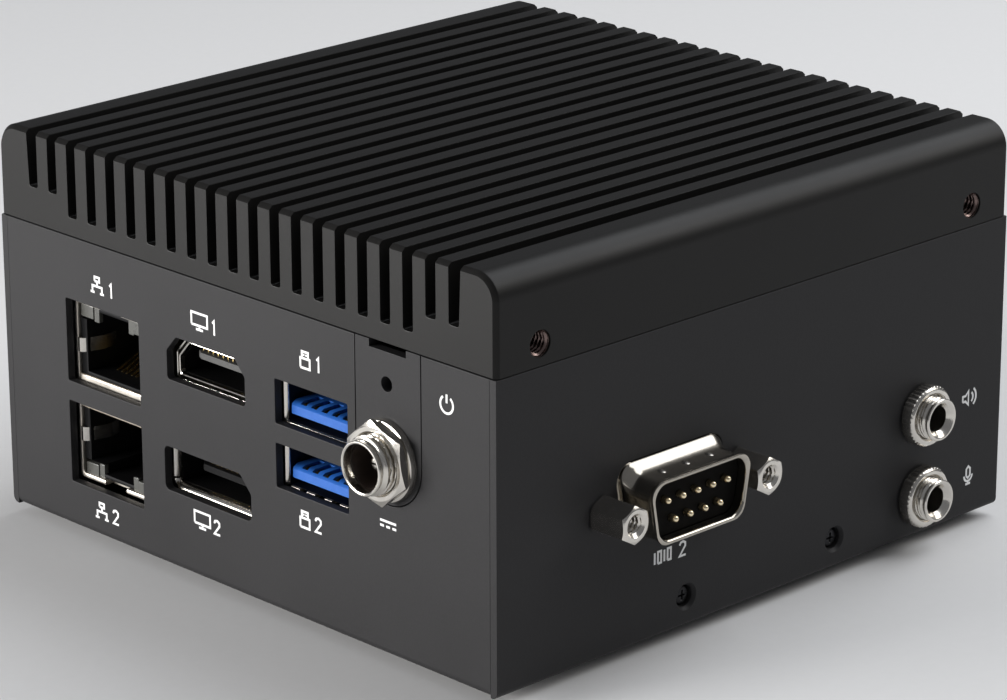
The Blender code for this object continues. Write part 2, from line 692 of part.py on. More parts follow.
def make_serial_port(number, side):
    centre = (COM_Y, COM_HEIGHT)
    flange_out, flange_in = INNER_SIDE - GAP, INNER_SIDE - GAP - 0.8
    reach = SIDE + COM_REACH
    half_y, half_z = 15.4, 6.25
    corners = box_outline(centre[0] - half_y, centre[1] - half_z, centre[0] + half_y, centre[1] + half_z)
    flange = rounded(corners, 1.2, 3)
    shell = [
        (flange, flange_in),
        (flange, flange_out),
        (dee(centre, 19.6, 10.6, 2.4, 3), flange_out),
        (dee(centre, 17.5, 8.7, 2.2, 3), flange_out + 1.6),
        (dee(centre, 17.3, 8.5, 2.2, 3), reach - 0.5),
        (dee(centre, 17.6, 8.8, 2.2, 3), reach),
        (dee(centre, 16.3, 7.5, 1.9, 3), reach),
        (dee(centre, 16.3, 7.5, 1.9, 3), flange_in),
    ]
    rings = [place(outline, "x", side * at) for outline, at in shell]
    steel = loft(f"com{number}_shell", rings, "nickel", tube=True)
    for step in (-1, 1):
        hole = circle((COM_Y + step * JACKSCREW_PITCH / 2, COM_HEIGHT), 1.7, 12)
        ends = side * (flange_in - 1), side * (flange_out + 1)
        cut(steel, prism(f"cut_flange_{number}_{step}", hole, "x", *ends))
    rear, step_in, face = flange_in - 8.0, flange_in - GAP, SIDE - 0.5
    rings = [
        place(dee(centre, 18.6, 9.8, 2.0, 3), "x", side * rear),
        place(dee(centre, 18.6, 9.8, 2.0, 3), "x", side * step_in),
        place(dee(centre, 15.7, 6.9, 1.6, 3), "x", side * step_in),
        place(dee(centre, 15.7, 6.9, 1.6, 3), "x", side * face),
    ]
    insert = loft(f"com{number}_insert", rings, "black_plastic")
    tip = SIDE + COM_REACH - 0.5
    for i, pin in enumerate(pin_places(), 1):
        stations = [
            (side * (face - 2), 0),
            (side * (face - 2), PIN_RADIUS),
            (side * (tip - 0.5), PIN_RADIUS),
            (side * tip, PIN_RADIUS / 2),
            (side * tip, 0),
        ]
        join(insert, turned(f"add_pin_{number}_{i}", "x", pin, stations, 8))
    outer = SIDE + JACKSCREW_REACH
    for i, step in enumerate((-1, 1), 1):
        stations = [
            (side * (outer - 4.5), 0),
            (side * (outer - 4.5), 1.3),
            (side * (outer - 0.3), 1.3),
            (side * outer, 1.55),
            (side * outer, 2.25),
            (side * (outer - 0.35), 4.9, "hex"),
            (side * (SIDE + GAP), 4.9, "hex"),
            (side * (SIDE + GAP), 1.35),
            (side * (flange_in - 4), 1.35),
            (side * (flange_in - 4), 0),
        ]
        spot = (COM_Y + step * JACKSCREW_PITCH / 2, COM_HEIGHT)
        turned(f"com{number}_jackscrew_{i}", "x", spot, stations, 12, "nickel")
    make_ribbon(number, side, rear - GAP)


def make_ribbon(number, side, start):
    """The flat lead from the serial connector, bent up to the underside of the board."""
    thick, bend = 0.9, 2.5
    low, turn_x = COM_HEIGHT, start - 3.5
    top = BOARD_BOTTOM - GAP
    centre = (turn_x, low + bend)
    outer = arc(centre, bend + thick / 2, 270, 180, 4)
    inner = arc(centre, bend - thick / 2, 180, 270, 4)
    upright = turn_x - bend
    profile = [(start, low - thick / 2)] + outer
    profile += [(upright - thick / 2, top), (upright + thick / 2, top)]
    profile += inner + [(start, low + thick / 2)]
    profile = [(side * u, v) for u, v in profile]
    prism(f"com{number}_ribbon", profile, "y", COM_Y - 6, COM_Y + 6, "ribbon_grey")


def make_audio_jacks():
    for name, height in zip(("line_out", "mic_in"), AUDIO_HEIGHTS):
        centre = (AUDIO_Y, height)
        shoulder = INNER_SIDE - GAP
        rear = shoulder - 12.0
        tip = SIDE + AUDIO_REACH
        half = 4.4
        body = box_outline(AUDIO_Y - half, height - half, AUDIO_Y + half, height + half)
        jack = prism(f"{name}_jack", body, "x", rear, shoulder, "nickel")
        stations = [
            (shoulder - 2, 0),
            (shoulder - 2, AUDIO_RADIUS),
            (tip - 0.4, AUDIO_RADIUS),
            (tip, AUDIO_RADIUS - 0.4),
            (tip, 0),
        ]
        join(jack, turned(f"add_{name}_barrel", "x", centre, stations, 20))
        stations = [(tip + 1, 0), (tip + 1, 3.1), (tip - 0.7, 1.8), (rear + 2, 1.8), (rear + 2, 0)]
        cut(jack, turned(f"cut_{name}_bore", "x", centre, stations, 16))
        near, hole = SIDE + GAP, AUDIO_RADIUS + GAP
        stations = [
            (near, AUDIO_NUT_RADIUS + 0.25),
            (near, hole),
            (near + 1.9, hole),
            (near + 1.9, AUDIO_NUT_RADIUS - 0.2),
            (near + 1.5, AUDIO_NUT_RADIUS + 0.1),
        ]
        turned(f"{name}_nut", "x", centre, stations, 20, "nickel", tube=True)


def main():
    clear_scene()
    make_lid()
    make_chassis()
    make_side_panels()
    make_power_plate()
    make_feet()
    make_columns_and_screws()
    make_board()
    make_power_button()
    make_network_sockets()
    make_video_sockets()
    make_usb_sockets()
    make_power_inlet()
    make_serial_port(1, -1)
    make_serial_port(2, 1)
    make_audio_jacks()


main()
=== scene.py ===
"""The looks of a fanless mini PC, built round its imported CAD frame.

Lengths are millimetres in the row frame: the port panel faces -Y, serial port 2 and the audio jacks +X.
"""

import json
import math

import bmesh
import bpy
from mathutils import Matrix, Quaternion, Vector


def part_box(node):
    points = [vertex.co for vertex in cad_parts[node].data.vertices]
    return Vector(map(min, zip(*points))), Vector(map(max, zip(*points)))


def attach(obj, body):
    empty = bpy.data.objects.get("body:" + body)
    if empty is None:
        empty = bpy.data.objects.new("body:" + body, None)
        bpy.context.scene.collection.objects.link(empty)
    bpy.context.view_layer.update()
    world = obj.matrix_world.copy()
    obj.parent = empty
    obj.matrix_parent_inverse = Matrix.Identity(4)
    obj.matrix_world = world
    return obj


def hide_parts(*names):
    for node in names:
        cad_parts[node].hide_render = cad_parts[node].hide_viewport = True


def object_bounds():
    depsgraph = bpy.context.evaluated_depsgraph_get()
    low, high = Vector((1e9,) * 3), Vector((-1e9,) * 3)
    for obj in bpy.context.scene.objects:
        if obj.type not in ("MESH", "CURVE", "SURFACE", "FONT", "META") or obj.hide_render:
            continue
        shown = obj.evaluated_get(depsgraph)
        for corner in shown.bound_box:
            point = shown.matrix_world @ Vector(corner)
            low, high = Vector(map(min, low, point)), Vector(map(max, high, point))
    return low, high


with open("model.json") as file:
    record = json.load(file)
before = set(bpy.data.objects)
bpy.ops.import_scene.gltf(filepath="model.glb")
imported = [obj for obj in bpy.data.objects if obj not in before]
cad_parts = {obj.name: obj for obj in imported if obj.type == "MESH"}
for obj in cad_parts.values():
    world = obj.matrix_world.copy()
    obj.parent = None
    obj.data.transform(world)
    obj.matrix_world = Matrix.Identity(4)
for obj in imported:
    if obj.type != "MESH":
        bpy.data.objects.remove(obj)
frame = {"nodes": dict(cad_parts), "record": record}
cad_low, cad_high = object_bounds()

MM = 0.001


def span(node):
    """Lowest and highest corner of a CAD node at rest."""
    low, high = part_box(node)
    return [v / MM for v in low], [v / MM for v in high]


def middle(node):
    low, high = span(node)
    return [(a + b) / 2 for a, b in zip(low, high)]


# --- sizes read from the CAD nodes ---
PANEL_LOW, PANEL_HIGH = span("side_panel_right")
SIDE, INNER_SIDE = PANEL_HIGH[0], PANEL_LOW[0]
SHEET = SIDE - INNER_SIDE
FRONT, REAR = PANEL_LOW[1], PANEL_HIGH[1]
TOP = span("heatsink_lid")[1][2]
PARTING = PANEL_HIGH[2] + 0.15
FLOOR = cad_low[2] / MM

# --- seams and edges ---
SEAM = 0.07
WELD_SEAM = 0.005  # half of the painted seam at a welded corner
SHEET_EDGE = 0.14  # rounding of a punched and coated sheet edge

# --- heatsink ---
SLOT_COUNT = 21
SLOT_PITCH = 4.155
SLOT_WIDTH = 1.8
SLOT_FLOOR = 45.15
OUTER_SLOT_FLOOR = 47.8
OUTER_SLOT_FLARE = 0.3
SHORT_SLOTS_EACH_SIDE = 2
LID_EDGE_RADIUS = 3.6
LID_CHAMFER = 0.6
BRACKET_HOLE_Y = 41.2
BRACKET_HOLE_HEIGHT = 45.5
BRACKET_HOLE_RADIUS = 1.65

# --- outlines: lists of (u, v) points, counter-clockwise ---


def box_outline(u0, v0, u1, v1):
    (u0, u1), (v0, v1) = sorted((u0, u1)), sorted((v0, v1))
    return [(u0, v0), (u1, v0), (u1, v1), (u0, v1)]


def circle(centre, radius, sides):
    angles = [2 * math.pi * i / sides for i in range(sides)]
    return [(centre[0] + radius * math.cos(a), centre[1] + radius * math.sin(a)) for a in angles]


def hexagon(centre, across, turn):
    reach = across / math.sqrt(3)
    angles = [turn + math.pi * (k + 0.5) / 3 for k in range(6)]
    return [(centre[0] + reach * math.cos(a), centre[1] + reach * math.sin(a)) for a in angles]


def arc(centre, radius, start_deg, end_deg, steps):
    points = []
    for i in range(steps + 1):
        angle = math.radians(start_deg + (end_deg - start_deg) * i / steps)
        points.append((centre[0] + radius * math.cos(angle), centre[1] + radius * math.sin(angle)))
    return points


def rounded(corners, radius, steps):
    """A counter-clockwise outline with each corner turned into an arc. An inner corner is rounded outwards."""
    points = []
    count = len(corners)
    for i, corner in enumerate(corners):
        size = radius[i] if isinstance(radius, (list, tuple)) else radius
        before, after = corners[i - 1], corners[(i + 1) % count]
        into = math.atan2(corner[1] - before[1], corner[0] - before[0])
        out = math.atan2(after[1] - corner[1], after[0] - corner[0])
        turn = (out - into + math.pi) % (2 * math.pi) - math.pi
        if size <= 0 or abs(turn) < 1e-6:
            points.append(corner)
            continue
        way = 1 if turn > 0 else -1
        back = size * math.tan(abs(turn) / 2)
        start = (corner[0] - back * math.cos(into), corner[1] - back * math.sin(into))
        centre = (start[0] - way * size * math.sin(into), start[1] + way * size * math.cos(into))
        first = math.degrees(into) - 90 * way
        points += arc(centre, size, first, first + math.degrees(turn), steps)
    return points


def offset(outline, distance):
    """The outline moved outwards by a distance, with mitred corners."""
    if not distance:
        return outline
    made = []
    count = len(outline)
    for i, (u, v) in enumerate(outline):
        (pu, pv), (nu, nv) = outline[i - 1], outline[(i + 1) % count]
        a, b = Vector((u - pu, v - pv)).normalized(), Vector((nu - u, nv - v)).normalized()
        normal = Vector((a.y + b.y, -a.x - b.x))
        normal = normal.normalized() if normal.length > 1e-6 else Vector((a.y, -a.x))
        reach = distance / max(0.35, normal.dot(Vector((a.y, -a.x))))
        made.append((u + normal.x * reach, v + normal.y * reach))
    return made


def dee(centre, width, height, radius, steps):
    """The D of a serial connector, wide at the top, its sides sloping ten degrees."""
    slope = height * math.tan(math.radians(10))
    u, v = centre
    low, top = width / 2 - slope, width / 2
    half = height / 2
    corners = [(u - low, v - half), (u + low, v - half), (u + top, v + half), (u - top, v + half)]
    return rounded(corners, radius, steps)


def strip(path, thickness):
    """The outline of a bent strip of sheet whose middle line is the path."""
    left, right = [], []
    for i, (u, v) in enumerate(path):
        before, after = path[max(i - 1, 0)], path[min(i + 1, len(path) - 1)]
        a = Vector((u - before[0], v - before[1]))
        b = Vector((after[0] - u, after[1] - v))
        along = (a.normalized() + b.normalized()).normalized() if a.length and b.length else (a + b).normalized()
        reach = thickness / 2 / max(0.5, along.dot(b.normalized() if b.length else a.normalized()))
        left.append((u - along.y * reach, v + along.x * reach))
        right.append((u + along.y * reach, v - along.x * reach))
    return right + left[::-1]


def place(outline, axis, at):
    """The outline's points in space, on the plane across the axis at that distance."""
    if axis == "x":
        return [(at, u, v) for u, v in outline]
    if axis == "y":
        return [(u, at, v) for u, v in outline]
    return [(u, v, at) for u, v in outline]


# --- solids, gathered in a bmesh ---


def loft(bm, rings, tube=False):
    """A closed skin over rings of equal count. A one-point ring is an apex, and a tube joins last to first."""
    made = [[bm.verts.new(point) for point in ring] for ring in rings]
    following = made[1:] + (made[:1] if tube else [])
    for ring, after in zip(made, following):
        count = max(len(ring), len(after))
        for i in range(count):
            j = (i + 1) % count
            corners = []
            for loop, k in ((ring, i), (ring, j), (after, j), (after, i)):
                vert = loop[k % len(loop)]
                if vert not in corners:
                    corners.append(vert)
            bm.faces.new(corners)
    if not tube:
        for end in (made[0], made[-1]):
            if len(end) > 2:
                bm.faces.new(end)


ROUND = ((0.0, 1.0), (0.293, 0.293), (1.0, 0.0))  # share of the edge: distance in, and how far drawn in


def slab(bm, outline, axis, start, end, edge=0.0, edge_end=None):
    """A prism whose two ends have rounded edges."""
    edge_end = edge if edge_end is None else edge_end
    way = 1 if end > start else -1
    sections = []
    for radius, at, sign in ((edge, start, way), (edge_end, end, -way)):
        shares = ROUND if radius else ((0, 0),)
        part = [(at + sign * radius * d, -radius * s) for d, s in shares]
        sections += part if at == start else part[::-1]
    loft(bm, [place(offset(outline, grow), axis, at) for at, grow in sections])


def punch(bm, outline, axis, surface, beyond, edge):
    """A cutter that leaves a hole with a rounded edge at the surface."""
    way = 1 if beyond > surface else -1
    sections = [(-0.293, 1.707), (0.293, 0.293), (1.0, 0.0)]
    rings = [place(offset(outline, edge * s), axis, surface + way * edge * d) for d, s in sections]
    loft(bm, rings + [place(outline, axis, beyond)])


def circles(axis, centre, stations, sides):
    """Rings from stations of (distance, radius), where a radius of 0 makes an apex."""
    return [place(circle(centre, r, sides) if r else [centre], axis, at) for at, r in stations]


def layers(outlines, axis="y", way=1):
    """Rings from pairs of (outline, distance)."""
    return [place(outline, axis, way * at) for outline, at in outlines]


def beyond(start, stations):
    """The stations with their distances counted from a starting point."""
    return [(start + at, r) for at, r in stations]


def turned(bm, axis, centre, stations, sides, tube=False):
    """A piece turned about an axis: stations of (distance, radius)."""
    loft(bm, circles(axis, centre, stations, sides), tube)


def thread_rings(axis, centre, start, end, low, high, pitch, sides, per_turn=8):
    """Rings of a helical thread whose radius runs between low and high. It fades in and out at its ends."""
    rings = []
    count = max(2, round(abs(end - start) / pitch * per_turn))
    for k in range(count + 1):
        at = start + (end - start) * k / count
        fade = min(1.0, abs(at - start) / pitch * 2, abs(end - at) / pitch * 2)
        outline = []
        for i in range(sides):
            phase = (at / pitch - i / sides) % 1.0
            wave = min(1.0, max(0.0, 1.8 - abs(phase - 0.5) * 4.0))
            radius = low + (high - low) * wave * fade
            angle = 2 * math.pi * i / sides
            outline.append((centre[0] + radius * math.cos(angle), centre[1] + radius * math.sin(angle)))
        rings.append(place(outline, axis, at))
    return rings


# --- objects ---


def mesh_object(name, bm):
    bmesh.ops.recalc_face_normals(bm, faces=bm.faces)
    bmesh.ops.scale(bm, verts=bm.verts, vec=(MM, MM, MM))
    mesh = bpy.data.meshes.new(name)
    bm.to_mesh(mesh)
    bm.free()
    made = bpy.data.objects.new(name, mesh)
    bpy.context.scene.collection.objects.link(made)
    return made


def cut(target, cutters, operation="DIFFERENCE"):
    """Cuts the closed solids in a bmesh from the object, and keeps the result as its own mesh."""
    helper = mesh_object("cutter", cutters)
    modifier = target.modifiers.new("cut", "BOOLEAN")
    modifier.operation = operation
    modifier.object = helper
    modifier.solver = "EXACT"
    modifier.use_self = True
    bpy.context.view_layer.update()
    result = bpy.data.meshes.new_from_object(target.evaluated_get(bpy.context.evaluated_depsgraph_get()))
    target.modifiers.clear()
    old, target.data = target.data, result
    bpy.data.meshes.remove(old)
    mesh = helper.data
    bpy.data.objects.remove(helper)
    bpy.data.meshes.remove(mesh)


def finish(made, look, slot, replaces, sharp=32.0, weighted=True):
    """Shades the object, gives it its look, and lets it ride on the case."""
    made.data.shade_smooth()
    made.data.set_sharp_from_angle(angle=math.radians(sharp))
    if weighted:
        normals = made.modifiers.new("face normals", "WEIGHTED_NORMAL")
        normals.keep_sharp = True
    made.data.materials.clear()
    made.data.materials.append(LOOKS[look])
    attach(made, "case")
    if replaces:
        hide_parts(*replaces)


def piece(name, bm, look, slot=None, replaces=(), cutters=(), **options):
    """An object of the solids in the bmesh, less the cutters, finished."""
    made = mesh_object(name, bm)
    for solids in cutters if isinstance(cutters, tuple) else (cutters,):
        cut(made, solids)
    finish(made, look, slot, replaces, **options)


# --- looks ---


def add(tree, kind, settings):
    """A shader node whose inputs are set to numbers, or linked where the setting is a socket."""
    made = tree.nodes.new(f"ShaderNode{kind}")
    for name, value in settings.items():
        if isinstance(value, bpy.types.NodeSocket):
            tree.links.new(value, made.inputs[name])
        else:
            made.inputs[name].default_value = value
    return made


ROUGHNESS_DRIFT = 0.05
NOISE_RANGE = (0.3, 0.7)  # where nearly all of a noise texture's values lie


def surface(
    name, colour, metallic, roughness, grain=1500.0, depth=0.004, tint=0.10, patch=120.0, stretch=None, specular=0.5,
    coat=0.0, other=None,
):
    """A finish with a fine grain in its relief, and a slow drift in colour and roughness."""
    made = bpy.data.materials.new(name)
    made.use_nodes = True
    tree = made.node_tree
    shader = tree.nodes["Principled BSDF"]
    where = add(tree, "TexCoord", {}).outputs["Object"]
    slow = add(tree, "TexNoise", {"Scale": patch, "Detail": 3.0, "Roughness": 0.5, "Vector": where}).outputs["Fac"]
    if stretch:
        where = add(tree, "Mapping", {"Scale": stretch, "Vector": where}).outputs["Vector"]
    fine = add(tree, "TexNoise", {"Scale": grain, "Detail": 3.0, "Roughness": 0.5, "Vector": where}).outputs["Fac"]
    both = add(tree, "Mix", {"Factor": 0.5, "A": slow, "B": fine}).outputs["Result"]
    ramp = add(tree, "ValToRGB", {"Fac": both})
    low, high = ramp.color_ramp.elements
    low.position, high.position = 0.35, 0.65
    low.color = (*(other or [c * (1 - tint) for c in colour]), 1)
    high.color = (*[c * (1 + tint) for c in colour], 1)
    tree.links.new(ramp.outputs["Color"], shader.inputs["Base Color"])
    drift = {"From Min": NOISE_RANGE[0], "From Max": NOISE_RANGE[1], "Value": both}
    drift |= {"To Min": roughness - ROUGHNESS_DRIFT, "To Max": roughness + ROUGHNESS_DRIFT}
    tree.links.new(add(tree, "MapRange", drift).outputs["Result"], shader.inputs["Roughness"])
    bump = add(tree, "Bump", {"Strength": 1.0, "Distance": depth * MM, "Height": fine})
    tree.links.new(bump.outputs["Normal"], shader.inputs["Normal"])
    shader.inputs["Metallic"].default_value = metallic
    shader.inputs["Specular IOR Level"].default_value = specular
    if coat:
        shader.inputs["Coat Weight"].default_value = coat
        shader.inputs["Coat Roughness"].default_value = 0.15
    return made


LOOKS = {
    "lid": surface(
        "anodised aluminium", (0.0072, 0.0069, 0.0065), 0.0, 0.43, grain=3200, depth=0.006, patch=45, specular=0.20
    ),
    "sheet": surface(
        "powder coat", (0.0230, 0.0226, 0.0236), 0.0, 0.50, grain=2600, depth=0.010, patch=40, specular=0.17
    ),
    "nickel": surface("nickel plate", (0.70, 0.67, 0.62), 1.0, 0.20, grain=900, tint=0.06, patch=150),
    "brushed": surface(
        "rolled nickel plate", (0.62, 0.58, 0.52), 1.0, 0.42, grain=1200, patch=150, stretch=(1, 1, 0.06)
    ),
    "tin": surface("tin plate", (0.44, 0.41, 0.36), 1.0, 0.17, grain=900, tint=0.06, patch=150),
    "insert": surface(
        "serial insert", (0.0042, 0.0038, 0.0034), 0.0, 0.6, grain=1800, depth=0.006, patch=90, specular=0.05
    ),
    "gold": surface("gold contact", (0.83, 0.60, 0.25), 1.0, 0.22, grain=900, depth=0.003, tint=0.05, patch=200),
    "plastic": surface(
        "black plastic", (0.0045, 0.0045, 0.005), 0.0, 0.52, grain=1800, depth=0.006, patch=90, specular=0.12
    ),
    "blue": surface("blue plastic", (0.018, 0.110, 0.43), 0.0, 0.36, depth=0.005, tint=0.06, patch=90),
    "rubber": surface("rubber", (0.017, 0.017, 0.017), 0.0, 0.80, grain=1200, depth=0.03, patch=90, specular=0.3),
    "board": surface(
        "solder mask", (0.012, 0.085, 0.040), 0.0, 0.35, grain=500, depth=0.02, patch=300, other=(0.010, 0.060, 0.030)
    ),
    "zinc": surface("zinc plate", (0.58, 0.59, 0.60), 1.0, 0.34, grain=1400, depth=0.006, patch=180),
    "oxide": surface("black oxide", (0.030, 0.030, 0.032), 0.85, 0.36, depth=0.006, patch=180),
    "bare": surface("milled aluminium", (0.72, 0.73, 0.75), 1.0, 0.32, grain=900, depth=0.008, stretch=(1, 0.05, 1)),
    "pad": surface("thermal pad", (0.33, 0.34, 0.39), 0.0, 0.75, grain=1200, depth=0.02, patch=100, specular=0.3),
    "tapped": surface(
        "tapped aluminium", (0.17, 0.125, 0.115), 1.0, 0.26, grain=900, depth=0.005, tint=0.2, patch=400
    ),
    # painted shade: a dark navy finish for the tubes lining the USB bays, standing in for the shade inside their
    # metal shells
    "painted_shade_liner": surface("painted shade liner", (0.0025, 0.005, 0.014), 0.0, 0.50, specular=0.2),
    "pale_gold": surface("pale gold", (0.84, 0.72, 0.50), 1.0, 0.24, grain=900, depth=0.003, tint=0.05, patch=200),
    "lens": surface("diffused lens", (0.075, 0.075, 0.068), 0.0, 0.30, grain=1200, depth=0.003, patch=200, coat=0.3),
    "grey": surface("grey plastic", (0.065, 0.065, 0.063), 0.0, 0.38),
    "brown": surface("inlet core", (0.030, 0.022, 0.018), 0.0, 0.30),
    "print": surface("white print", (0.80, 0.80, 0.80), 0.0, 0.55, grain=2500, tint=0.04, patch=200),
    "ribbon": surface("ribbon cable", (0.38, 0.39, 0.41), 0.0, 0.55, grain=900, depth=0.01),
}


# --- heatsink ---


def lid_profile(grow, chamfer):
    """Cross-section across the fins, drawn in at the outer edge by the chamfer, and grown or shrunk all round."""
    bottom = PARTING + SEAM
    tip, root = 0.16, 0.35
    points = [(-SIDE, bottom), (SIDE, bottom)]
    points += arc((SIDE - LID_EDGE_RADIUS, TOP - LID_EDGE_RADIUS), LID_EDGE_RADIUS, 0, 90, 14)
    half_count = (SLOT_COUNT - 1) / 2
    for i in reversed(range(SLOT_COUNT)):
        centre = (i - half_count) * SLOT_PITCH
        from_end = min(i, SLOT_COUNT - 1 - i)
        floor = OUTER_SLOT_FLOOR if from_end < SHORT_SLOTS_EACH_SIDE else SLOT_FLOOR
        left, right = centre - SLOT_WIDTH / 2, centre + SLOT_WIDTH / 2
        flare_left = OUTER_SLOT_FLARE if i == 0 else 0
        flare_right = OUTER_SLOT_FLARE if i == SLOT_COUNT - 1 else 0
        points += arc((right + flare_right + tip, TOP - tip), tip, 90, 180, 2)
        points += arc((right - root, floor + root), root, 0, -90, 3)
        points += arc((left + root, floor + root), root, 270, 180, 3)
        points += arc((left - flare_left - tip, TOP - tip), tip, 0, 90, 2)
    points += arc((LID_EDGE_RADIUS - SIDE, TOP - LID_EDGE_RADIUS), LID_EDGE_RADIUS, 90, 180, 14)
    drawn = []
    for u, v in offset(points, grow):
        sign = 1 if u > 0 else -1
        across, up = abs(u), v
        corner_u, corner_v = SIDE - LID_EDGE_RADIUS, TOP - LID_EDGE_RADIUS
        limit = LID_EDGE_RADIUS - chamfer
        if across > corner_u and up > corner_v:
            away = math.hypot(across - corner_u, up - corner_v)
            if away > limit:
                across = corner_u + (across - corner_u) * limit / away
                up = corner_v + (up - corner_v) * limit / away
        else:
            across, up = min(across, SIDE - chamfer), min(up, TOP - chamfer)
        drawn.append((sign * across, up))
    return drawn


def make_heatsink():
    bm, cutters = bmesh.new(), bmesh.new()
    edge = 0.10
    sections = [(0.0, -edge, LID_CHAMFER), (0.293 * edge, -0.293 * edge, LID_CHAMFER - 0.1 * edge)]
    sections += [(edge, 0.0, LID_CHAMFER - edge), (LID_CHAMFER - 0.06, 0, 0.07), (LID_CHAMFER + 0.1, 0, 0)]
    rings = [place(lid_profile(grow, cham), "y", FRONT + at) for at, grow, cham in sections]
    rings += [place(lid_profile(grow, cham), "y", REAR - at) for at, grow, cham in reversed(sections)]
    loft(bm, rings)
    holes = [(side, (y, BRACKET_HOLE_HEIGHT)) for side in (-1, 1) for y in (-BRACKET_HOLE_Y, BRACKET_HOLE_Y)]
    for side, centre in holes:
        punch(cutters, circle(centre, BRACKET_HOLE_RADIUS + 0.1, 40), "x", side * SIDE, side * (SIDE - 5.5), 0.15)
    piece("heatsink", bm, "lid", "coated_aluminium", ["heatsink_lid"], cutters=cutters)
    for number, (side, centre) in enumerate(holes, 1):
        outer, inner = side * (SIDE - 0.3), side * (SIDE - 5.2)
        root, crest = BRACKET_HOLE_RADIUS + 0.04, BRACKET_HOLE_RADIUS - 0.24
        rings = circles("x", centre, ((inner, root + 0.05), (outer, root + 0.05)), 40)
        rings += thread_rings("x", centre, outer - side * 0.1, inner, root, crest, 0.6, 40)
        bm = bmesh.new()
        loft(bm, rings, tube=True)
        piece(f"bracket_thread_{number}", bm, "tapped", weighted=False)


# --- chassis and panels ---

PLATE_X = middle("power_plate")[0]
INLET_X, _, INLET_HEIGHT = middle("inlet_barrel")
PLATE_HALF = 6.1
PIN_HOLE_HEIGHT = middle("power_button")[2]
PIN_HOLE_RADIUS = 1.0
NOTCH_HALF = 3.4
NOTCH_DEPTH = 1.0
COLUMN_X, COLUMN_Y = middle("column_4")[:2]
COM_Y, COM_HEIGHT = middle("com2_shell")[1:]
JACKSCREW_PITCH = 25.0
JACKSCREW_SPOTS = [(COM_Y + step * JACKSCREW_PITCH / 2, COM_HEIGHT) for step in (-1, 1)]
AUDIO_AT = [middle("line_out_nut")[1:], middle("mic_in_nut")[1:]]
SIDE_SCREW_Y, SIDE_SCREW_HEIGHT = middle("side_screw_4")[1:]
FOOT_AT = middle("foot_4")[0]
FOOT_RADIUS = (span("foot_4")[1][0] - span("foot_4")[0][0]) / 2
CUTOUT_BACK = FRONT + SHEET + 1
CORNERS = ((-1, -1), (-1, 1), (1, -1), (1, 1))

LAN_X = middle("network_shield")[0]
HDMI_X = middle("hdmi_shell")[0]
DP_X = middle("dp_shell")[0]
USB_X = middle("usb_shell")[0]
SOCKET_FRONT = span("network_shield")[0][1]
LAN_HALF, LAN_CUTOUTS = 7.75, ((21.5, 33.4), (6.75, 18.6))
USB_HALF, USB_CUTOUTS = 7.0, ((26.4, 32.5), (17.53, 23.64))


def hdmi_outline(half, low, high, corner):
    """An upside-down socket: full width below, its upper corners cut."""
    u = HDMI_X
    points = [(u - half, low), (u + half, low), (u + half, high - 2.2), (u + half - 2.0, high)]
    points += [(u - half + 2.0, high), (u - half, high - 2.2)]
    return rounded(points, corner, 4)


def dp_outline(half, low, high, corner):
    """An upside-down socket: one upper corner is cut."""
    u = DP_X
    points = [(u - half, low), (u + half, low), (u + half, high - 2.4), (u + half - 2.2, high), (u - half, high)]
    return rounded(points, corner, 4)


def bay_outline(half, low, high, corner):
    return rounded(box_outline(-half, low, half, high), corner, 3)


def shifted(outline, u, v=0.0):
    return [(a + u, b + v) for a, b in outline]


def make_chassis():
    top, edge, bend, inner_bend = PARTING - SEAM, SHEET_EDGE, 1.1, 0.35
    low = SHEET
    outer = arc((FRONT + edge, top - edge), edge, 90, 180, 3)
    outer += arc((FRONT + bend, bend), bend, 180, 270, 8) + arc((REAR - bend, bend), bend, 270, 360, 8)
    outer += arc((REAR - edge, top - edge), edge, 0, 90, 3) + [(REAR - low, top)]
    outer += arc((REAR - low - inner_bend, low + inner_bend), inner_bend, 360, 270, 4)
    outer += arc((FRONT + low + inner_bend, low + inner_bend), inner_bend, 270, 180, 4) + [(FRONT + low, top)]
    half = INNER_SIDE - WELD_SEAM
    bm, cutters = bmesh.new(), bmesh.new()
    slab(bm, outer, "x", -half, half, 0.06)
    holes = [shifted(bay_outline(LAN_HALF, *edges, 0.25), LAN_X) for edges in LAN_CUTOUTS]
    holes += [shifted(bay_outline(USB_HALF, *edges, 0.25), USB_X) for edges in USB_CUTOUTS]
    for hole in holes + [hdmi_outline(7.9, 27.05, 33.25, 0.5), dp_outline(8.8, 11.1, 17.3, 0.8)]:
        punch(cutters, hole, "y", FRONT, CUTOUT_BACK, SHEET_EDGE)
    half = PLATE_HALF + SEAM
    slot = arc((PLATE_X, INLET_HEIGHT), half, 180, 360, 32) + [(PLATE_X + half, top + 2), (PLATE_X - half, top + 2)]
    punch(cutters, slot, "y", FRONT, CUTOUT_BACK, 0.09)
    sink = [(-1, 0), (-1, 4.2), (SHEET + 0.1, 1.8), (SHEET + 1, 1.8), (SHEET + 1, 0)]
    for x, y in CORNERS:
        turned(cutters, "z", (x * COLUMN_X, y * COLUMN_Y), sink, 40)
    for x, y in CORNERS:
        punch(cutters, circle((x * FOOT_AT, y * FOOT_AT), FOOT_RADIUS + 0.25, 48), "z", 0, 0.6, 0.12)
    piece("chassis_sheet", bm, "sheet", "coated_sheet", ["chassis"], cutters=cutters)


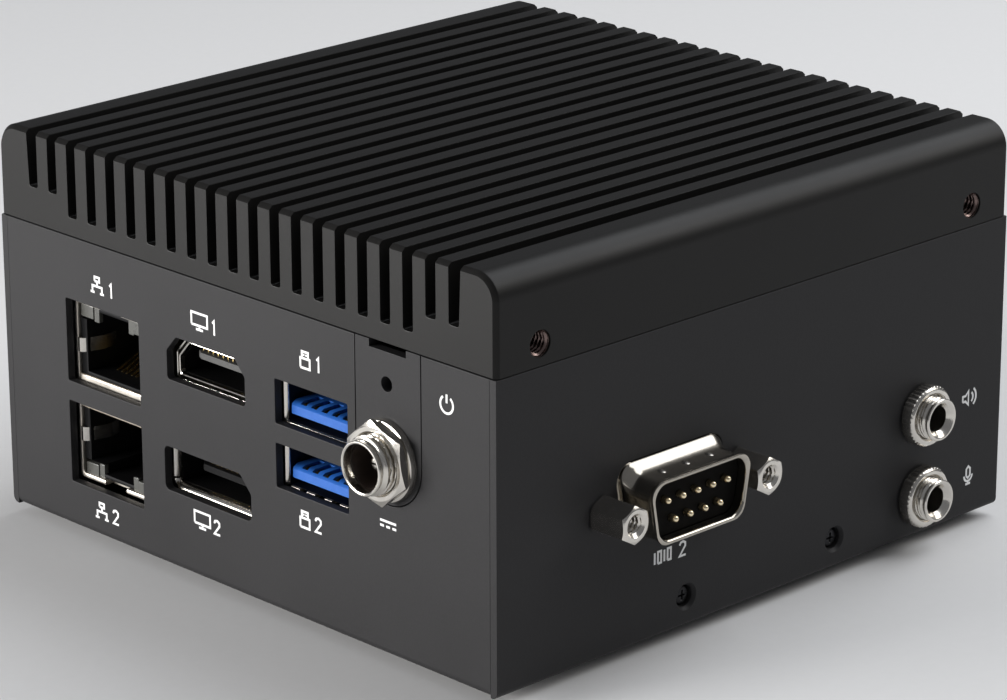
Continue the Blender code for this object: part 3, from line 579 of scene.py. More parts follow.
def make_side_panels():
    top, edge, low_edge = PARTING - SEAM, SHEET_EDGE, 1.0
    right = [(INNER_SIDE, 0.0)] + arc((SIDE - low_edge, low_edge), low_edge, 270, 360, 8)
    right += arc((SIDE - edge, top - edge), edge, 0, 90, 3) + [(INNER_SIDE, top)]
    for name, side in (("right", 1), ("left", -1)):
        profile = right if side > 0 else [(-u, v) for u, v in reversed(right)]
        bm, cutters = bmesh.new(), bmesh.new()
        slab(bm, profile, "y", FRONT, REAR, 0.08)
        near, far = side * SIDE, side * (INNER_SIDE - 1)
        punch(cutters, dee((COM_Y, COM_HEIGHT), 20.6, 11.4, 2.6, 10), "x", near, far, SHEET_EDGE)
        for step, spot in zip((-1, 1), JACKSCREW_SPOTS):
            punch(cutters, circle(spot, 1.75, 32), "x", near, far, 0.12)
            lower = (step * SIDE_SCREW_Y, SIDE_SCREW_HEIGHT)
            stations = [(side * (SIDE + 0.1), 0), (side * (SIDE + 0.1), 2.05), (side * (SIDE - 0.12), 1.75)]
            stations += [(side * (SIDE - 0.45), 1.5), (far, 1.5), (far, 0)]
            turned(cutters, "x", lower, stations, 40)
        if side > 0:
            for centre in AUDIO_AT:
                punch(cutters, circle(centre, 3.25, 40), "x", near, far, 0.12)
        piece(f"side_sheet_{name}", bm, "sheet", "coated_sheet", [f"side_panel_{name}"], cutters=cutters)


def make_power_plate():
    top, half = PARTING - SEAM, PLATE_HALF - SEAM
    notch = top - NOTCH_DEPTH
    lower = arc((PLATE_X, INLET_HEIGHT), half, 180, 360, 32)
    corners = [(PLATE_X + half, top), (PLATE_X + NOTCH_HALF, top), (PLATE_X + NOTCH_HALF, notch)]
    corners += [(PLATE_X - NOTCH_HALF, notch), (PLATE_X - NOTCH_HALF, top), (PLATE_X - half, top)]
    bm, cutters = bmesh.new(), bmesh.new()
    slab(bm, lower + corners, "y", FRONT, FRONT + 1.48, 0.09, 0.02)
    wide = arc((PLATE_X, INLET_HEIGHT), half + 0.9, 180, 360, 32)
    wide += [(PLATE_X + half + 0.9, notch - 1), (PLATE_X - half - 0.9, notch - 1)]
    slab(bm, wide, "y", FRONT + 1.5, FRONT + 2.5, 0.05)
    back = FRONT + 3.5
    punch(cutters, circle((INLET_X, INLET_HEIGHT), 4.2, 40), "y", FRONT, back, 0.1)
    punch(cutters, circle((INLET_X, PIN_HOLE_HEIGHT), PIN_HOLE_RADIUS, 32), "y", FRONT, back, 0.1)
    piece("power_inlet_plate", bm, "sheet", "coated_sheet", ["power_plate"], cutters=cutters)


# --- feet and screws ---


def cross(size, arm):
    """A Phillips cross."""
    corners = []
    for turn in range(4):
        c, s = round(math.cos(turn * math.pi / 2)), round(math.sin(turn * math.pi / 2))
        for u, v in ((size, -arm), (size, arm), (arm, arm)):
            corners.append((u * c - v * s, u * s + v * c))
    return corners


def screw_head(number, kind, axis, centre, stations, face, inward, size):
    """A turned screw head with a cross recess sunk from its face."""
    bm, cutters = bmesh.new(), bmesh.new()
    turned(bm, axis, centre, stations, 40)
    sections = ((-0.2, 1.06), (0.0, 1.0), (size * 0.55, 0.55))
    outlines = [(shifted(cross(size * share, size * 0.2 * share), *centre), depth) for depth, share in sections]
    loft(cutters, layers([(outline, face + inward * depth) for outline, depth in outlines], axis))
    node = f"{kind}_screw_{number}"
    piece(f"{kind}_screw_head_{number}", bm, "oxide", "black_steel", [node], cutters=cutters)


def make_feet_and_screws():
    sole, r = FLOOR, FOOT_RADIUS
    pad = [(sole + 0.25, 0), (sole + 0.25, r - 1.5), (sole + 0.12, r - 1.25), (sole, r - 0.95)]
    pad += [(sole, r - 0.5), (sole + 0.15, r - 0.15), (sole + 0.5, r), (0.3, r), (0.3, 0)]
    screw = [(0.1, 0), (0.1, 2.35), (0.18, 2.5), (0.35, 2.5), (1.25, 1.35), (7.5, 1.35), (7.5, 0)]
    for number, (x, y) in enumerate(CORNERS, 1):
        bm = bmesh.new()
        turned(bm, "z", (x * FOOT_AT, y * FOOT_AT), pad, 56)
        piece(f"foot_pad_{number}", bm, "rubber", "rubber", [f"foot_{number}"], sharp=50)
        screw_head(number, "bottom", "z", (x * COLUMN_X, y * COLUMN_Y), screw, 0.1, 1, 1.5)
    face = SIDE - 0.75
    screw = beyond(face, ((0, 0), (0, 0.95), (-0.12, 1.2), (-0.3, 1.25)))
    screw += beyond(INNER_SIDE, ((-0.2, 0.8), (-4, 0.8), (-4, 0)))
    for number, (side, y) in enumerate(CORNERS, 1):
        stations = [(side * at, r) for at, r in screw]
        screw_head(number, "side", "x", (y * SIDE_SCREW_Y, SIDE_SCREW_HEIGHT), stations, side * face, -side, 0.75)


# --- front sockets ---

LAN_PORTS = (
    # opening's lower and upper edge; wall with the contacts, shoulder and end of the latch's slot;
    # lower end of the side tabs; way up from the contacts
    (22.24, 32.4, 22.7, 30.3, 31.75, 25.4, 1),
    (7.5, 17.45, 17.2, 9.75, 8.35, 12.4, -1),
)
LAN_WALL = 0.74  # from the shield's outside to its plastic socket
PLUG_HALF, LATCH_HALF = 5.95, 3.2
HDMI_SHELL = (7.45, 27.25, 32.55)  # half width, lower edge, upper edge
HDMI_COLLAR = (7.8, 26.65, 32.9)
USB_CONTACTS = (
    # places; groove's half width, floor, start and end; spring's half width, thickness and bends (depth, lift)
    ((-4, -2, 0, 2, 4), 0.55, 1.3, 0.35, 3.4, 0.3, 0.16, ((0.5, 1.32), (0.75, 1.52), (1.3, 1.6), (3.3, 1.36))),
    ((-3.5, -1, 1, 3.5), 0.6, 1.45, 4.1, 10, 0.45, 0.18, ((4.3, 1.6), (5.2, 2.1), (6.0, 2.2), (9.8, 1.6))),
)


def wall(bm, section, front, back, profile):
    """A shell of sheet: section gives the outline for an inset, and the profile its mouth as (inset, depth)."""
    stations = [(profile[0][0], back), *((inset, front + depth) for inset, depth in profile), (profile[-1][0], back)]
    loft(bm, layers([(section(inset), at) for inset, at in stations]), tube=True)


def painted_shade_tube(name, look, outer, inner, back, mouth, step):
    """A thin dark tube inside a shell's metal walls: painted shade that darkens the inside of the shell."""
    bm = bmesh.new()
    loft(bm, layers([(outer, back), (outer, mouth), (inner, mouth - step), (inner, back)]), tube=True)
    piece(name, bm, look)


def make_tongue(name, node, look, tip, nose, root, taper):
    """A socket's insert: a block at the back, and a tongue that tapers at its tip."""
    low, high = span(node)
    base, tip, nose = (rounded(o, 0.2, 2) for o in (box_outline(low[0], low[2], high[0], high[2]), tip, nose))
    bm = bmesh.new()
    loft(bm, layers([(base, high[1]), (base, root), (tip, root), (tip, low[1] + taper), (nose, low[1])]))
    piece(name, bm, look, "black_plastic", [node])


def flat_contacts(name, spots, half, start, end):
    bm = bmesh.new()
    for x, z in spots:
        slab(bm, box_outline(x - half, z - 0.1, x + half, z + 0.1), "y", start, end, 0.03)
    piece(name, bm, "gold")


def make_network_sockets():
    (left, front, low), (right, back, high) = span("network_shield")
    half = (right - left) / 2

    def section(inset, corner=0.5):
        return shifted(bay_outline(half - inset, low + inset, high - inset, corner), LAN_X)

    bm, cutters = bmesh.new(), bmesh.new()
    wall(bm, section, front, back, ((0, 0.2), (0.06, 0.05), (0.2, 0), (0.45, 0), (0.62, 0.08), (0.7, 0.3)))
    bridge = box_outline(LAN_X - half + 0.72, LAN_PORTS[1][1], LAN_X + half - 0.72, LAN_PORTS[0][0])
    slab(bm, bridge, "y", front + 0.02, front + 0.5, 0.34)
    for a, b in ((high - 1.2, high + 1), (low - 1, low + 1.2)):
        slab(cutters, shifted(box_outline(-2.3, a, 2.3, b), LAN_X - 0.2), "y", front - 1, front + 1.4)
    piece("network_can", bm, "brushed", "nickel", ["network_shield"], cutters=cutters)

    bm, cutters = bmesh.new(), bmesh.new()
    slab(bm, section(LAN_WALL, 0.3), "y", front + 0.45, back - 0.8, 0.15)
    for _, _, floor, shoulder, latch_end, _, way in LAN_PORTS:
        steps = [(PLUG_HALF, floor), (PLUG_HALF, shoulder), (LATCH_HALF, shoulder), (LATCH_HALF, latch_end)]
        outline = (steps + [(-u, v) for u, v in reversed(steps)])[::way]
        punch(cutters, shifted(outline, LAN_X), "y", front + 0.45, front + 14, 0.25)
    for x in (-1, 1):
        for way, edge in ((1, LAN_PORTS[0][1]), (-1, LAN_PORTS[1][0])):
            corner = box_outline(x * 3.2, edge + way * 2, x * (half + 1), edge - way * 2.2)
            slab(cutters, shifted(corner, LAN_X), "y", front - 1, front + 1.2)
    piece("network_housing", bm, "plastic", "black_plastic", ["network_socket"], cutters=cutters)

    for number, (open_low, open_high, floor, _, _, tab_low, way) in enumerate(LAN_PORTS, 1):
        edge = open_high if way > 0 else open_low
        for tag, x in (("left", -1), ("right", 1)):
            bm = bmesh.new()
            for inner, outer, drop, out in ((4.27, 6.9, 1.85, 0.0), (3.12, 4.2, 2.15, 0.12)):
                lens = rounded(box_outline(x * inner, edge - way * 0.02, x * outer, edge - way * drop), 0.15, 2)
                slab(bm, shifted(lens, LAN_X), "y", front + 0.3 + out, front + 1.15, 0.12)
            piece(f"network_light_{number}_{tag}", bm, "lens")
        bm = bmesh.new()
        bends = ((3.6, -0.1), (4.4, 0.18), (7.6, 1.75), (8.4, 1.95), (9.4, 1.7), (12.8, 0.5))
        path = [(front + depth, floor + way * lift) for depth, lift in bends]
        for i in range(8):
            x = LAN_X + (i - 3.5) * 1.02
            slab(bm, strip(path, 0.28), "x", x - 0.22, x + 0.22, 0.05)
        piece(f"network_contacts_{number}", bm, "gold")
        bm = bmesh.new()
        bends = ((0.62, 0.35), (0.75, 0.05), (1.1, -0.02), (1.5, 0.25), (1.9, 0.9), (2.35, 3), (2.3, 4.3), (1.9, 5.6))
        for x in (-1, 1):
            path = [(LAN_X + x * (half - inset), front + depth) for inset, depth in bends]
            slab(bm, strip(path, 0.24), "z", tab_low, tab_low + 2.05, 0.06)
        piece(f"network_tabs_{number}", bm, "nickel", "nickel")


def make_video_sockets():
    front = SOCKET_FRONT

    def section(shell, corner):
        half, low, high = shell
        return lambda inset: hdmi_outline(half - inset, low + inset, high - inset, corner)

    bm = bmesh.new()
    mouth = ((0.0, 0.3), (0.08, 0.05), (0.2, 0), (0.32, 0.08), (0.36, 0.3))
    wall(bm, section(HDMI_SHELL, 0.6), front, span("hdmi_shell")[1][1], mouth)
    piece("hdmi_can", bm, "nickel", "nickel", ["hdmi_shell"])
    bm, cutters = bmesh.new(), bmesh.new()
    wall(bm, section(HDMI_COLLAR, 0.5), front, front + 6, ((0.0, 0.2), (0.1, 0), (0.22, 0.06), (0.26, 0.25)))
    for step in (-5.3, -0.85, 0.85, 5.3):
        for a, b in ((26.2, 27.1), (32.4, 33.4)):
            slab(cutters, shifted(box_outline(-0.22, a, 0.22, b), HDMI_X - 0.3 + step), "y", front - 1, front + 3.5)
    piece("hdmi_collar", bm, "nickel", "nickel", cutters=cutters)
    # painted shade: a black plastic tube inside the HDMI shell, darker than its metal walls
    outer, inner = section(HDMI_SHELL, 0.5)(0.37), section(HDMI_SHELL, 0.45)(0.45)
    painted_shade_tube("hdmi_painted_shade", "plastic", outer, inner, front + 9, front + 1.0, 0.1)
    low, high = 29.95, 31.0
    tip = box_outline(HDMI_X - 5.15, low, HDMI_X + 5.15, high)
    nose = box_outline(HDMI_X - 4.3, low + 0.1, HDMI_X + 4.3, high - 0.1)
    make_tongue("hdmi_tongue", "hdmi_insert", "grey", tip, nose, front + 8.2, 0.5)
    spots = [(HDMI_X + (i - 9) * 0.5, low - 0.05 if i % 2 else high + 0.05) for i in range(19)]
    flat_contacts("hdmi_contacts", spots, 0.11, span("hdmi_insert")[0][1] + 0.7, front + 8.1)

    back = span("dp_shell")[1][1]
    bm, cutters = bmesh.new(), bmesh.new()
    mouth = ((9.0, 11.1, 17.3, 1.0), (9.6, 10.65, 17.7, 0.5), (9.65, 10.6, 17.75, 0.2), (9.6, 10.66, 17.7, 0.05))
    mouth += ((9.5, 10.76, 17.62, 0), (9.35, 10.9, 17.5, 0.02), (9.1, 11.13, 17.3, 0.12), (8.85, 11.37, 17.07, 0.34))
    mouth += ((8.67, 11.54, 16.91, 0.66), (8.6, 11.6, 16.85, 1.1))
    stations = [(*sizes, front + depth) for *sizes, depth in mouth]
    stations = [(*mouth[0][:3], back), *stations, (*mouth[-1][:3], back)]
    loft(bm, layers([(dp_outline(*sizes, 0.7), at) for *sizes, at in stations]), tube=True)
    upright, level = box_outline(-0.16, -1.0, 0.16, 0.9), box_outline(-1.2, -0.16, 1.2, 0.16)
    slits = ((level, -8.75, 12.15, 0), (upright, -8, 11, 0.9), (level, 8.75, 12.15, 0), (upright, 8, 11, -0.9))
    for slit, u, v, turn in slits:
        c, s = math.cos(turn), math.sin(turn)
        corners = [(p * c - q * s + DP_X + u, p * s + q * c + v) for p, q in slit]
        slab(cutters, corners, "y", front - 1, front + 0.75)
    piece("display_can", bm, "nickel", "nickel", ["dp_shell"], cutters=cutters)
    # painted shade: a black plastic tube inside the DisplayPort shell, darker than its metal walls
    outer, inner = dp_outline(8.59, 11.61, 16.84, 0.65), dp_outline(8.5, 11.7, 16.75, 0.6)
    painted_shade_tube("display_painted_shade", "plastic", outer, inner, front + 11, front + 1.3, 0.1)
    tip, nose = box_outline(DP_X - 5.9, 13.5, DP_X + 5.9, 14.7), box_outline(DP_X - 5.3, 13.65, DP_X + 5.3, 14.55)
    make_tongue("display_tongue", "dp_insert", "plastic", tip, nose, front + 10, 0.6)
    spots = [(DP_X + i - 4.5, z) for i in range(10) for z in (13.46, 14.74)]
    flat_contacts("display_contacts", spots, 0.18, span("dp_insert")[0][1] + 0.8, front + 9.9)


def make_usb_sockets():
    low, high = span("usb_shell")
    front, back = low[1], high[1]
    bm = bmesh.new()
    slab(bm, rounded(box_outline(low[0], low[2], high[0], high[2]), 0.4, 3), "y", front, back, 0.2)
    mouths, dashes = bmesh.new(), bmesh.new()
    bays = [(bay_low - 0.05, bay_low + 5.3) for bay_low, _ in USB_CUTOUTS]
    for bay in bays:
        punch(mouths, shifted(bay_outline(6.6, *bay, 0.3), USB_X), "y", front, back - 1, 0.2)
    between_bays = box_outline(USB_X - 6.6, bays[1][1] + 0.45, USB_X + 6.6, bays[0][0] - 0.45)
    punch(mouths, between_bays, "y", front, front + 6, 0.15)
    for u0, u1 in ((-7.2, -6.1), (-4.35, -3.0), (-1.4, 0.5), (1.9, 3.4), (5.0, 7.2)):
        slit = shifted(box_outline(u0, low[2] - 1, u1, bays[1][0] + 0.15), USB_X)
        slab(dashes, slit, "y", front - 1, front + 1.6)
    piece("usb_can", bm, "brushed", "nickel", ["usb_shell"], cutters=(mouths, dashes))
    for number, (bay_low, bay_high) in enumerate(bays, 1):
        node = f"usb_tongue_{number}"
        tip, base_back = span(node)[0][1], span(node)[1][1]
        z = bay_low + 1.1
        base = rounded(box_outline(-6.45, bay_low + 0.2, 6.45, bay_high - 0.2), 0.2, 2)
        sizes = ((-6.05, 0, 5.75, 1.85), (-6.02, 0.02, 5.72, 1.45), (-5.9, 0.08, 5.6, 1.25))
        full, mid, nose = (rounded(box_outline(u0, z + v0, u1, z + v1), 0.12, 2) for u0, v0, u1, v1 in sizes)
        rings = [(base, base_back), (base, front + 12.8), (full, front + 12.8), (full, tip + 0.85), (mid, tip + 0.15)]
        bm = bmesh.new()
        loft(bm, layers([(shifted(outline, USB_X), at) for outline, at in rings + [(nose, tip)]]))
        grooves, contacts = bmesh.new(), bmesh.new()
        for places, half, lower, start, end, spring, thickness, bends in USB_CONTACTS:
            path = strip([(tip + depth, z + lift) for depth, lift in bends], thickness)
            for x in places:
                x += USB_X
                slab(grooves, box_outline(x - half, z + lower, x + half, z + 2.4), "y", tip + start, tip + end)
                slab(contacts, path, "x", x - spring, x + spring, 0.04)
        piece(f"usb_blade_{number}", bm, "blue", "blue_plastic", [node], cutters=grooves)
        # painted shade: a dark navy tube inside each USB bay, darker than the shell's metal walls
        outer = shifted(bay_outline(6.58, bay_low + 0.02, bay_high - 0.02, 0.28), USB_X)
        inner = shifted(bay_outline(6.5, bay_low + 0.1, bay_high - 0.1, 0.25), USB_X)
        painted_shade_tube(f"usb_painted_shade_{number}", "painted_shade_liner", outer, inner, back - 1.2, front + 0.36, 0.06)
        bm = bmesh.new()
        bends = ((7.28, 0.5), (7.22, 0.2), (7.05, 0), (6.85, -0.08), (6.65, 0), (6.53, 0.18), (6.5, 0.34))
        for x in (-1, 1):
            path = [(USB_X + x * u, front + depth) for u, depth in bends]
            slab(bm, strip(path, 0.16), "z", bay_low + 0.35, bay_high + 0.1, 0.05)
        if number == 1:
            lip = shifted([(-0.14, -0.42), (-0.05, 0.02), (0.5, 0.06), (0.5, -0.42)], front, bay_low)
            slab(bm, rounded(lip, [0.06, 0.06, 0, 0], 3), "x", USB_X - 6.5, USB_X + 6.5, 0.04)
        piece(f"usb_springs_{number}", bm, "nickel", "nickel")
        piece(f"usb_contacts_{number}", contacts, "gold")


# --- power inlet ---


def hex_piece(name, bm, axis, centre, across, turn, look, slot, replaces, **options):
    """The turned solid in the bmesh with six flats cut on it, finished."""
    made = mesh_object(name, bm)
    prism = bmesh.new()
    slab(prism, rounded(hexagon(centre, across, turn), 0.1, 3), axis, -100, 100)
    cut(made, prism, "INTERSECT")
    finish(made, look, slot, replaces, sharp=22, **options)


def make_power_inlet():
    centre = (INLET_X, INLET_HEIGHT)
    sides = 96
    tip, back = span("inlet_barrel")[0][1], span("inlet_barrel")[1][1]
    bm = bmesh.new()
    rings = circles("y", centre, ((back, 3.1), (back, 5.2), (back - 2, 5.2), (back - 2, 3.7)), sides)
    rings += thread_rings("y", centre, FRONT + 1.0, tip + 0.8, 3.5, 3.98, 0.8, sides, 16)
    mouth = ((0.75, 3.38), (0.55, 3.4), (0.4, 3.62), (0.15, 3.66), (0, 3.56), (-0.02, 3.4), (0.06, 3.24))
    mouth += ((0.35, 3.14), (0.8, 3.12))
    loft(bm, rings + circles("y", centre, beyond(tip, mouth), sides), tube=True)
    piece("inlet_thread", bm, "nickel", "nickel", ["inlet_barrel"], weighted=False)

    low, high = span("inlet_washer")
    r = (high[0] - low[0]) / 2 - 0.3
    near, far = high[1] + 0.25, low[1]
    bm = bmesh.new()
    stations = [(near, 4.15), (near, r), (near - 0.15, r), (far + 0.12, r - 0.18), (far, r - 0.42), (far, 4.15)]
    turned(bm, "y", centre, stations, sides, tube=True)
    piece("inlet_washer_ring", bm, "nickel", "nickel", ["inlet_washer"])

    low, high = span("inlet_nut")
    front, rear = low[1] + 0.55, high[1] + 0.25
    bm = bmesh.new()
    stations = beyond(rear, ((0, 4.9), (-0.08, 4.98), (-0.55, 5.9)))
    stations += beyond(front, ((0.5, 5.9), (0.07, 4.98), (0, 4.85), (0, 4.3), (0.25, 4.03)))
    turned(bm, "y", centre, stations + [(rear, 4.03)], sides, tube=True)
    hex_piece("inlet_hex_nut", bm, "y", centre, 10.0, math.radians(10), "nickel", "nickel", ["inlet_nut"])

    low, high = span("inlet_insulator")
    bm = bmesh.new()
    stations = beyond(high[1], ((0, 0), (0, 5.0), (-6, 5.0), (-6, 3.05)))
    stations += beyond(tip, ((1.4, 3.05), (1.3, 2.98), (1.4, 2.92)))
    stations += beyond(low[1], ((1, 2.9), (1, 1.6), (1.2, 1.4), (6, 1.4), (6, 0)))
    turned(bm, "y", centre, stations, 56)
    piece("inlet_core", bm, "brown", "black_plastic", ["inlet_insulator"])
    low, high = span("inlet_pin")
    bm, cutters = bmesh.new(), bmesh.new()
    stations = [(high[1], 0), (high[1], 1.0)]
    stations += beyond(low[1] + 0.9, ((0.5, 1.0), (0.2, 0.92), (0.05, 0.72), (0, 0.45), (0, 0)))
    turned(bm, "y", centre, stations, 40)
    slab(cutters, shifted(box_outline(-1.5, -0.13, 1.5, 0.13), *centre), "y", low[1] - 1, low[1] + 4)
    piece("inlet_centre_pin", bm, "nickel", "nickel", ["inlet_pin"], cutters=cutters)


# --- side sockets ---

PIN_PITCH = 2.77
PIN_ROW_PITCH = 2.84
DIMPLE_RISE, DIMPLE_SINK = 0.28, 0.06
DIMPLE_LENGTH, DIMPLE_WIDTH = 0.8, 0.55


def dimple(bm, at, y, z, way):
    """A small bump pressed out of a sheet, drawn as a flattened dome."""
    rings = []
    for k in range(5):
        angle = math.pi / 2 * k / 4
        height = z + way * (math.sin(angle) * DIMPLE_RISE - DIMPLE_SINK)
        outline = circle((0, 0), math.cos(angle), 20) if k < 4 else [(0, 0)]
        rings.append([(at + u * DIMPLE_LENGTH, y + v * DIMPLE_WIDTH, height) for u, v in outline])
    loft(bm, rings)


def make_serial_port(number, side):
    node = f"com{number}"
    centre = (COM_Y, COM_HEIGHT)

    def extent(name):
        """The node's inner and outer end, counted away from the case's middle."""
        low, high = span(name)
        return (low[0], high[0]) if side > 0 else (-high[0], -low[0])

    def rings_of(radius, sizes, start):
        return [(dee(centre, width, height, radius, 9), start + at) for width, height, at in sizes]

    low, high = span(f"{node}_shell")
    flange_in, reach = extent(f"{node}_shell")
    reach += 0.35
    half_y, half_z = (high[1] - low[1]) / 2, (high[2] - low[2]) / 2
    flange = rounded(shifted(box_outline(-half_y, -half_z, half_y, half_z), *centre), 1.2, 9)
    skirt = ((19.4, 11.0, -0.1), (19.65, 11.3, 0.12), (19.6, 11.1, 0.35), (19.35, 10.4, 0.75), (19.05, 9.7, 1.2))
    skirt += ((18.9, 9.15, 1.65), (18.6, 8.75, 2.2))
    lip = ((18.5, 8.5, -1.1), (18.6, 8.6, -0.75), (18.9, 8.85, -0.5), (19.0, 8.95, -0.3), (18.9, 8.85, -0.08))
    lip += ((18.6, 8.55, 0.0), (18.1, 8.1, -0.02), (17.75, 7.75, -0.2), (17.6, 7.6, -0.5), (17.6, 7.6, -4.5))
    shell = [(flange, flange_in), (flange, flange_in + 0.8)] + rings_of(2.3, skirt, SIDE)
    shell += rings_of(2.1, lip, reach) + rings_of(2.1, ((17.6, 7.6, 0),), flange_in)
    bm, cutters = bmesh.new(), bmesh.new()
    loft(bm, layers(shell, "x", side), tube=True)
    for spot in JACKSCREW_SPOTS:
        slab(cutters, circle(spot, 1.7, 24), "x", side * (flange_in - 1), side * (flange_in + 1.8))
    piece(f"{node}_can", bm, "tin", "nickel", [f"{node}_shell"], sharp=40, cutters=cutters)
    bm = bmesh.new()
    for way, row in ((1, (-4.4, 0.0, 4.4)), (-1, (-3.2, 3.2))):
        for u in row:
            dimple(bm, side * (reach - 3.1), COM_Y + u, COM_HEIGHT + way * 4.3, way)
    piece(f"{node}_dimples", bm, "nickel", "nickel")

    face = reach - 1.6
    rear, _ = extent(f"{node}_insert")
    step_in = flange_in - 0.3
    block = rings_of(2.0, ((18.6, 9.8, rear), (18.6, 9.8, step_in)), 0)
    block += rings_of(2.05, ((17.55, 7.55, step_in), (17.55, 7.55, face - 0.1)), 0)
    block += rings_of(2.0, ((17.4, 7.4, face),), 0)
    bm = bmesh.new()
    loft(bm, layers(block, "x", side))
    spots = []
    for count, row in ((5, 0.5), (4, -0.5)):
        for i in range(count):
            spots.append((COM_Y + (i - (count - 1) / 2) * PIN_PITCH, COM_HEIGHT - 0.2 + row * PIN_ROW_PITCH))
    cutters, pins = bmesh.new(), bmesh.new()
    stations = [(face - 2, 0), (face - 2, 0.5)]
    stations += beyond(reach - 0.35, ((-0.55, 0.5), (-0.25, 0.42), (-0.06, 0.27), (0, 0.12), (0, 0)))
    for spot in spots:
        slab(cutters, circle(spot, 0.6, 20), "x", side * (face - 0.15), side * (face + 1))
        turned(pins, "x", spot, [(side * at, r) for at, r in stations], 20)
    piece(f"{node}_core", bm, "insert", "black_plastic", [f"{node}_insert"], cutters=cutters)
    piece(f"{node}_pins", pins, "pale_gold")

    for i, spot in enumerate(JACKSCREW_SPOTS, 1):
        screw = f"{node}_jackscrew_{i}"
        inner, outer = extent(screw)
        outer += 0.45
        sides = 72
        stations = beyond(outer, ((0, 2.1), (-0.05, 2.24), (-0.4, 2.8)))
        stations += beyond(SIDE, ((0.4, 2.8), (0.08, 2.25), (0.08, 1.4)))
        stations += [(inner, 1.4), (inner, 0.6), (outer - 5, 0.6)]
        rings = circles("x", spot, [(side * at, r) for at, r in stations], sides)
        rings += thread_rings("x", spot, side * (outer - 4.9), side * (outer - 0.35), 1.42, 1.14, 0.64, sides)
        rings += circles("x", spot, ((side * (outer - 0.3), 1.3), (side * (outer - 0.02), 1.62)), sides)
        bm = bmesh.new()
        loft(bm, rings, tube=True)
        hex_piece(f"{node}_hex_{i}", bm, "x", spot, 4.6, 0, "nickel", "nickel", [screw], weighted=False)


def knurled(centre, radius, depth, teeth):
    """A circle whose rim rises and falls, four points to a tooth."""
    points = []
    for i in range(teeth * 4):
        angle = 2 * math.pi * i / (teeth * 4)
        r = radius - depth * (0, 0.7, 1.0, 0.7)[i % 4]
        points.append((centre[0] + r * math.cos(angle), centre[1] + r * math.sin(angle)))
    return points


def make_audio_jacks():
    half, sides, teeth = 4.4, 60, 40
    for name, centre in zip(("line_out", "mic_in"), AUDIO_AT):
        low, high = span(f"{name}_jack")
        shoulder, tip = INNER_SIDE - 0.3, high[0] + 0.5
        bm = bmesh.new()
        body = rounded(shifted(box_outline(-half, -half, half, half), *centre), 0.3, 2)
        slab(bm, body, "x", low[0], shoulder - 0.02, 0.15)
        piece(f"{name}_body", bm, "plastic", "nickel", [f"{name}_jack"])
        bm = bmesh.new()
        rings = circles("x", centre, beyond(shoulder, ((-0.5, 1.8), (-0.5, 2.8), (0, 2.8))), sides)
        rings += thread_rings("x", centre, shoulder + 0.1, tip - 0.75, 2.76, 3.0, 0.5, sides)
        mouth = ((-0.7, 2.7), (-0.5, 2.72), (-0.42, 2.95), (-0.15, 2.98), (-0.02, 2.86), (0, 2.7), (-0.08, 2.5))
        mouth += ((-0.45, 2.15), (-0.75, 1.9), (-0.85, 1.8), (-3.0, 1.8))
        loft(bm, rings + circles("x", centre, beyond(tip, mouth), sides), tube=True)
        piece(f"{name}_barrel", bm, "nickel", "nickel", weighted=False)
        bm = bmesh.new()
        turned(bm, "x", centre, beyond(shoulder, ((-0.4, 0), (-0.4, 1.75), (0.2, 1.75), (0.2, 0))), 32)
        piece(f"{name}_bore", bm, "plastic")
        low, high = span(f"{name}_nut")
        near, far, outer = low[0] - 0.25, high[0], (high[1] - low[1]) / 2
        stations = [(near, outer - 0.35, 0), (near + 0.15, outer - 0.05, 0.18), (far - 0.5, outer, 0.2)]
        stations += [(far - 0.35, outer - 0.1, 0.16), (far - 0.28, outer - 0.2, 0), (far - 0.05, outer - 0.42, 0)]
        stations += [(far, outer - 0.6, 0), (far, 3.4, 0), (far - 0.3, 3.05, 0), (near, 3.05, 0)]
        bm = bmesh.new()
        loft(bm, layers([(knurled(centre, r, depth, teeth), at) for at, r, depth in stations], "x"), tube=True)
        piece(f"{name}_ring_nut", bm, "nickel", "nickel", [f"{name}_nut"])


# --- printed pictograms ---


def ring(u, v, radius, start=0, end=360):
    return [(u + a, v + b) for a, b in arc((0, 0), radius, start, end, 20)]


NETWORK = (
    [(-1.0, -0.9), (-1.0, -0.2), (1.0, -0.2), (1.0, -0.9)], [(0.0, -0.2), (0.0, 0.5)],
    [(-0.5, 0.5), (0.5, 0.5), (0.5, 1.1), (-0.5, 1.1), (-0.5, 0.5)],
    [(-1.4, -1.1), (-0.6, -1.1)], [(0.6, -1.1), (1.4, -1.1)],
)
SCREEN = (
    [(-1.6, -0.5), (1.6, -0.5), (1.6, 1.2), (-1.6, 1.2), (-1.6, -0.5)],
    [(0, -0.5), (0, -1.0)], [(-0.7, -1.05), (0.7, -1.05)],
)
PLUG = (
    [(-0.9, -1.1), (0.9, -1.1), (0.9, 0.2), (-0.9, 0.2), (-0.9, -1.1)],
    [(-0.6, 0.2), (-0.6, 1.1), (0.6, 1.1), (0.6, 0.2)],
    [(-0.25, 0.55), (-0.25, 0.8)], [(0.25, 0.55), (0.25, 0.8)],
)
DIRECT = (
    [(-1.5, 0.35), (1.5, 0.35)],
    [(-1.5, -0.35), (-0.8, -0.35)], [(-0.35, -0.35), (0.35, -0.35)], [(0.8, -0.35), (1.5, -0.35)],
)
POWER = (ring(0, 0, 1.15, 125, 415), [(0, 0.2), (0, 1.35)])
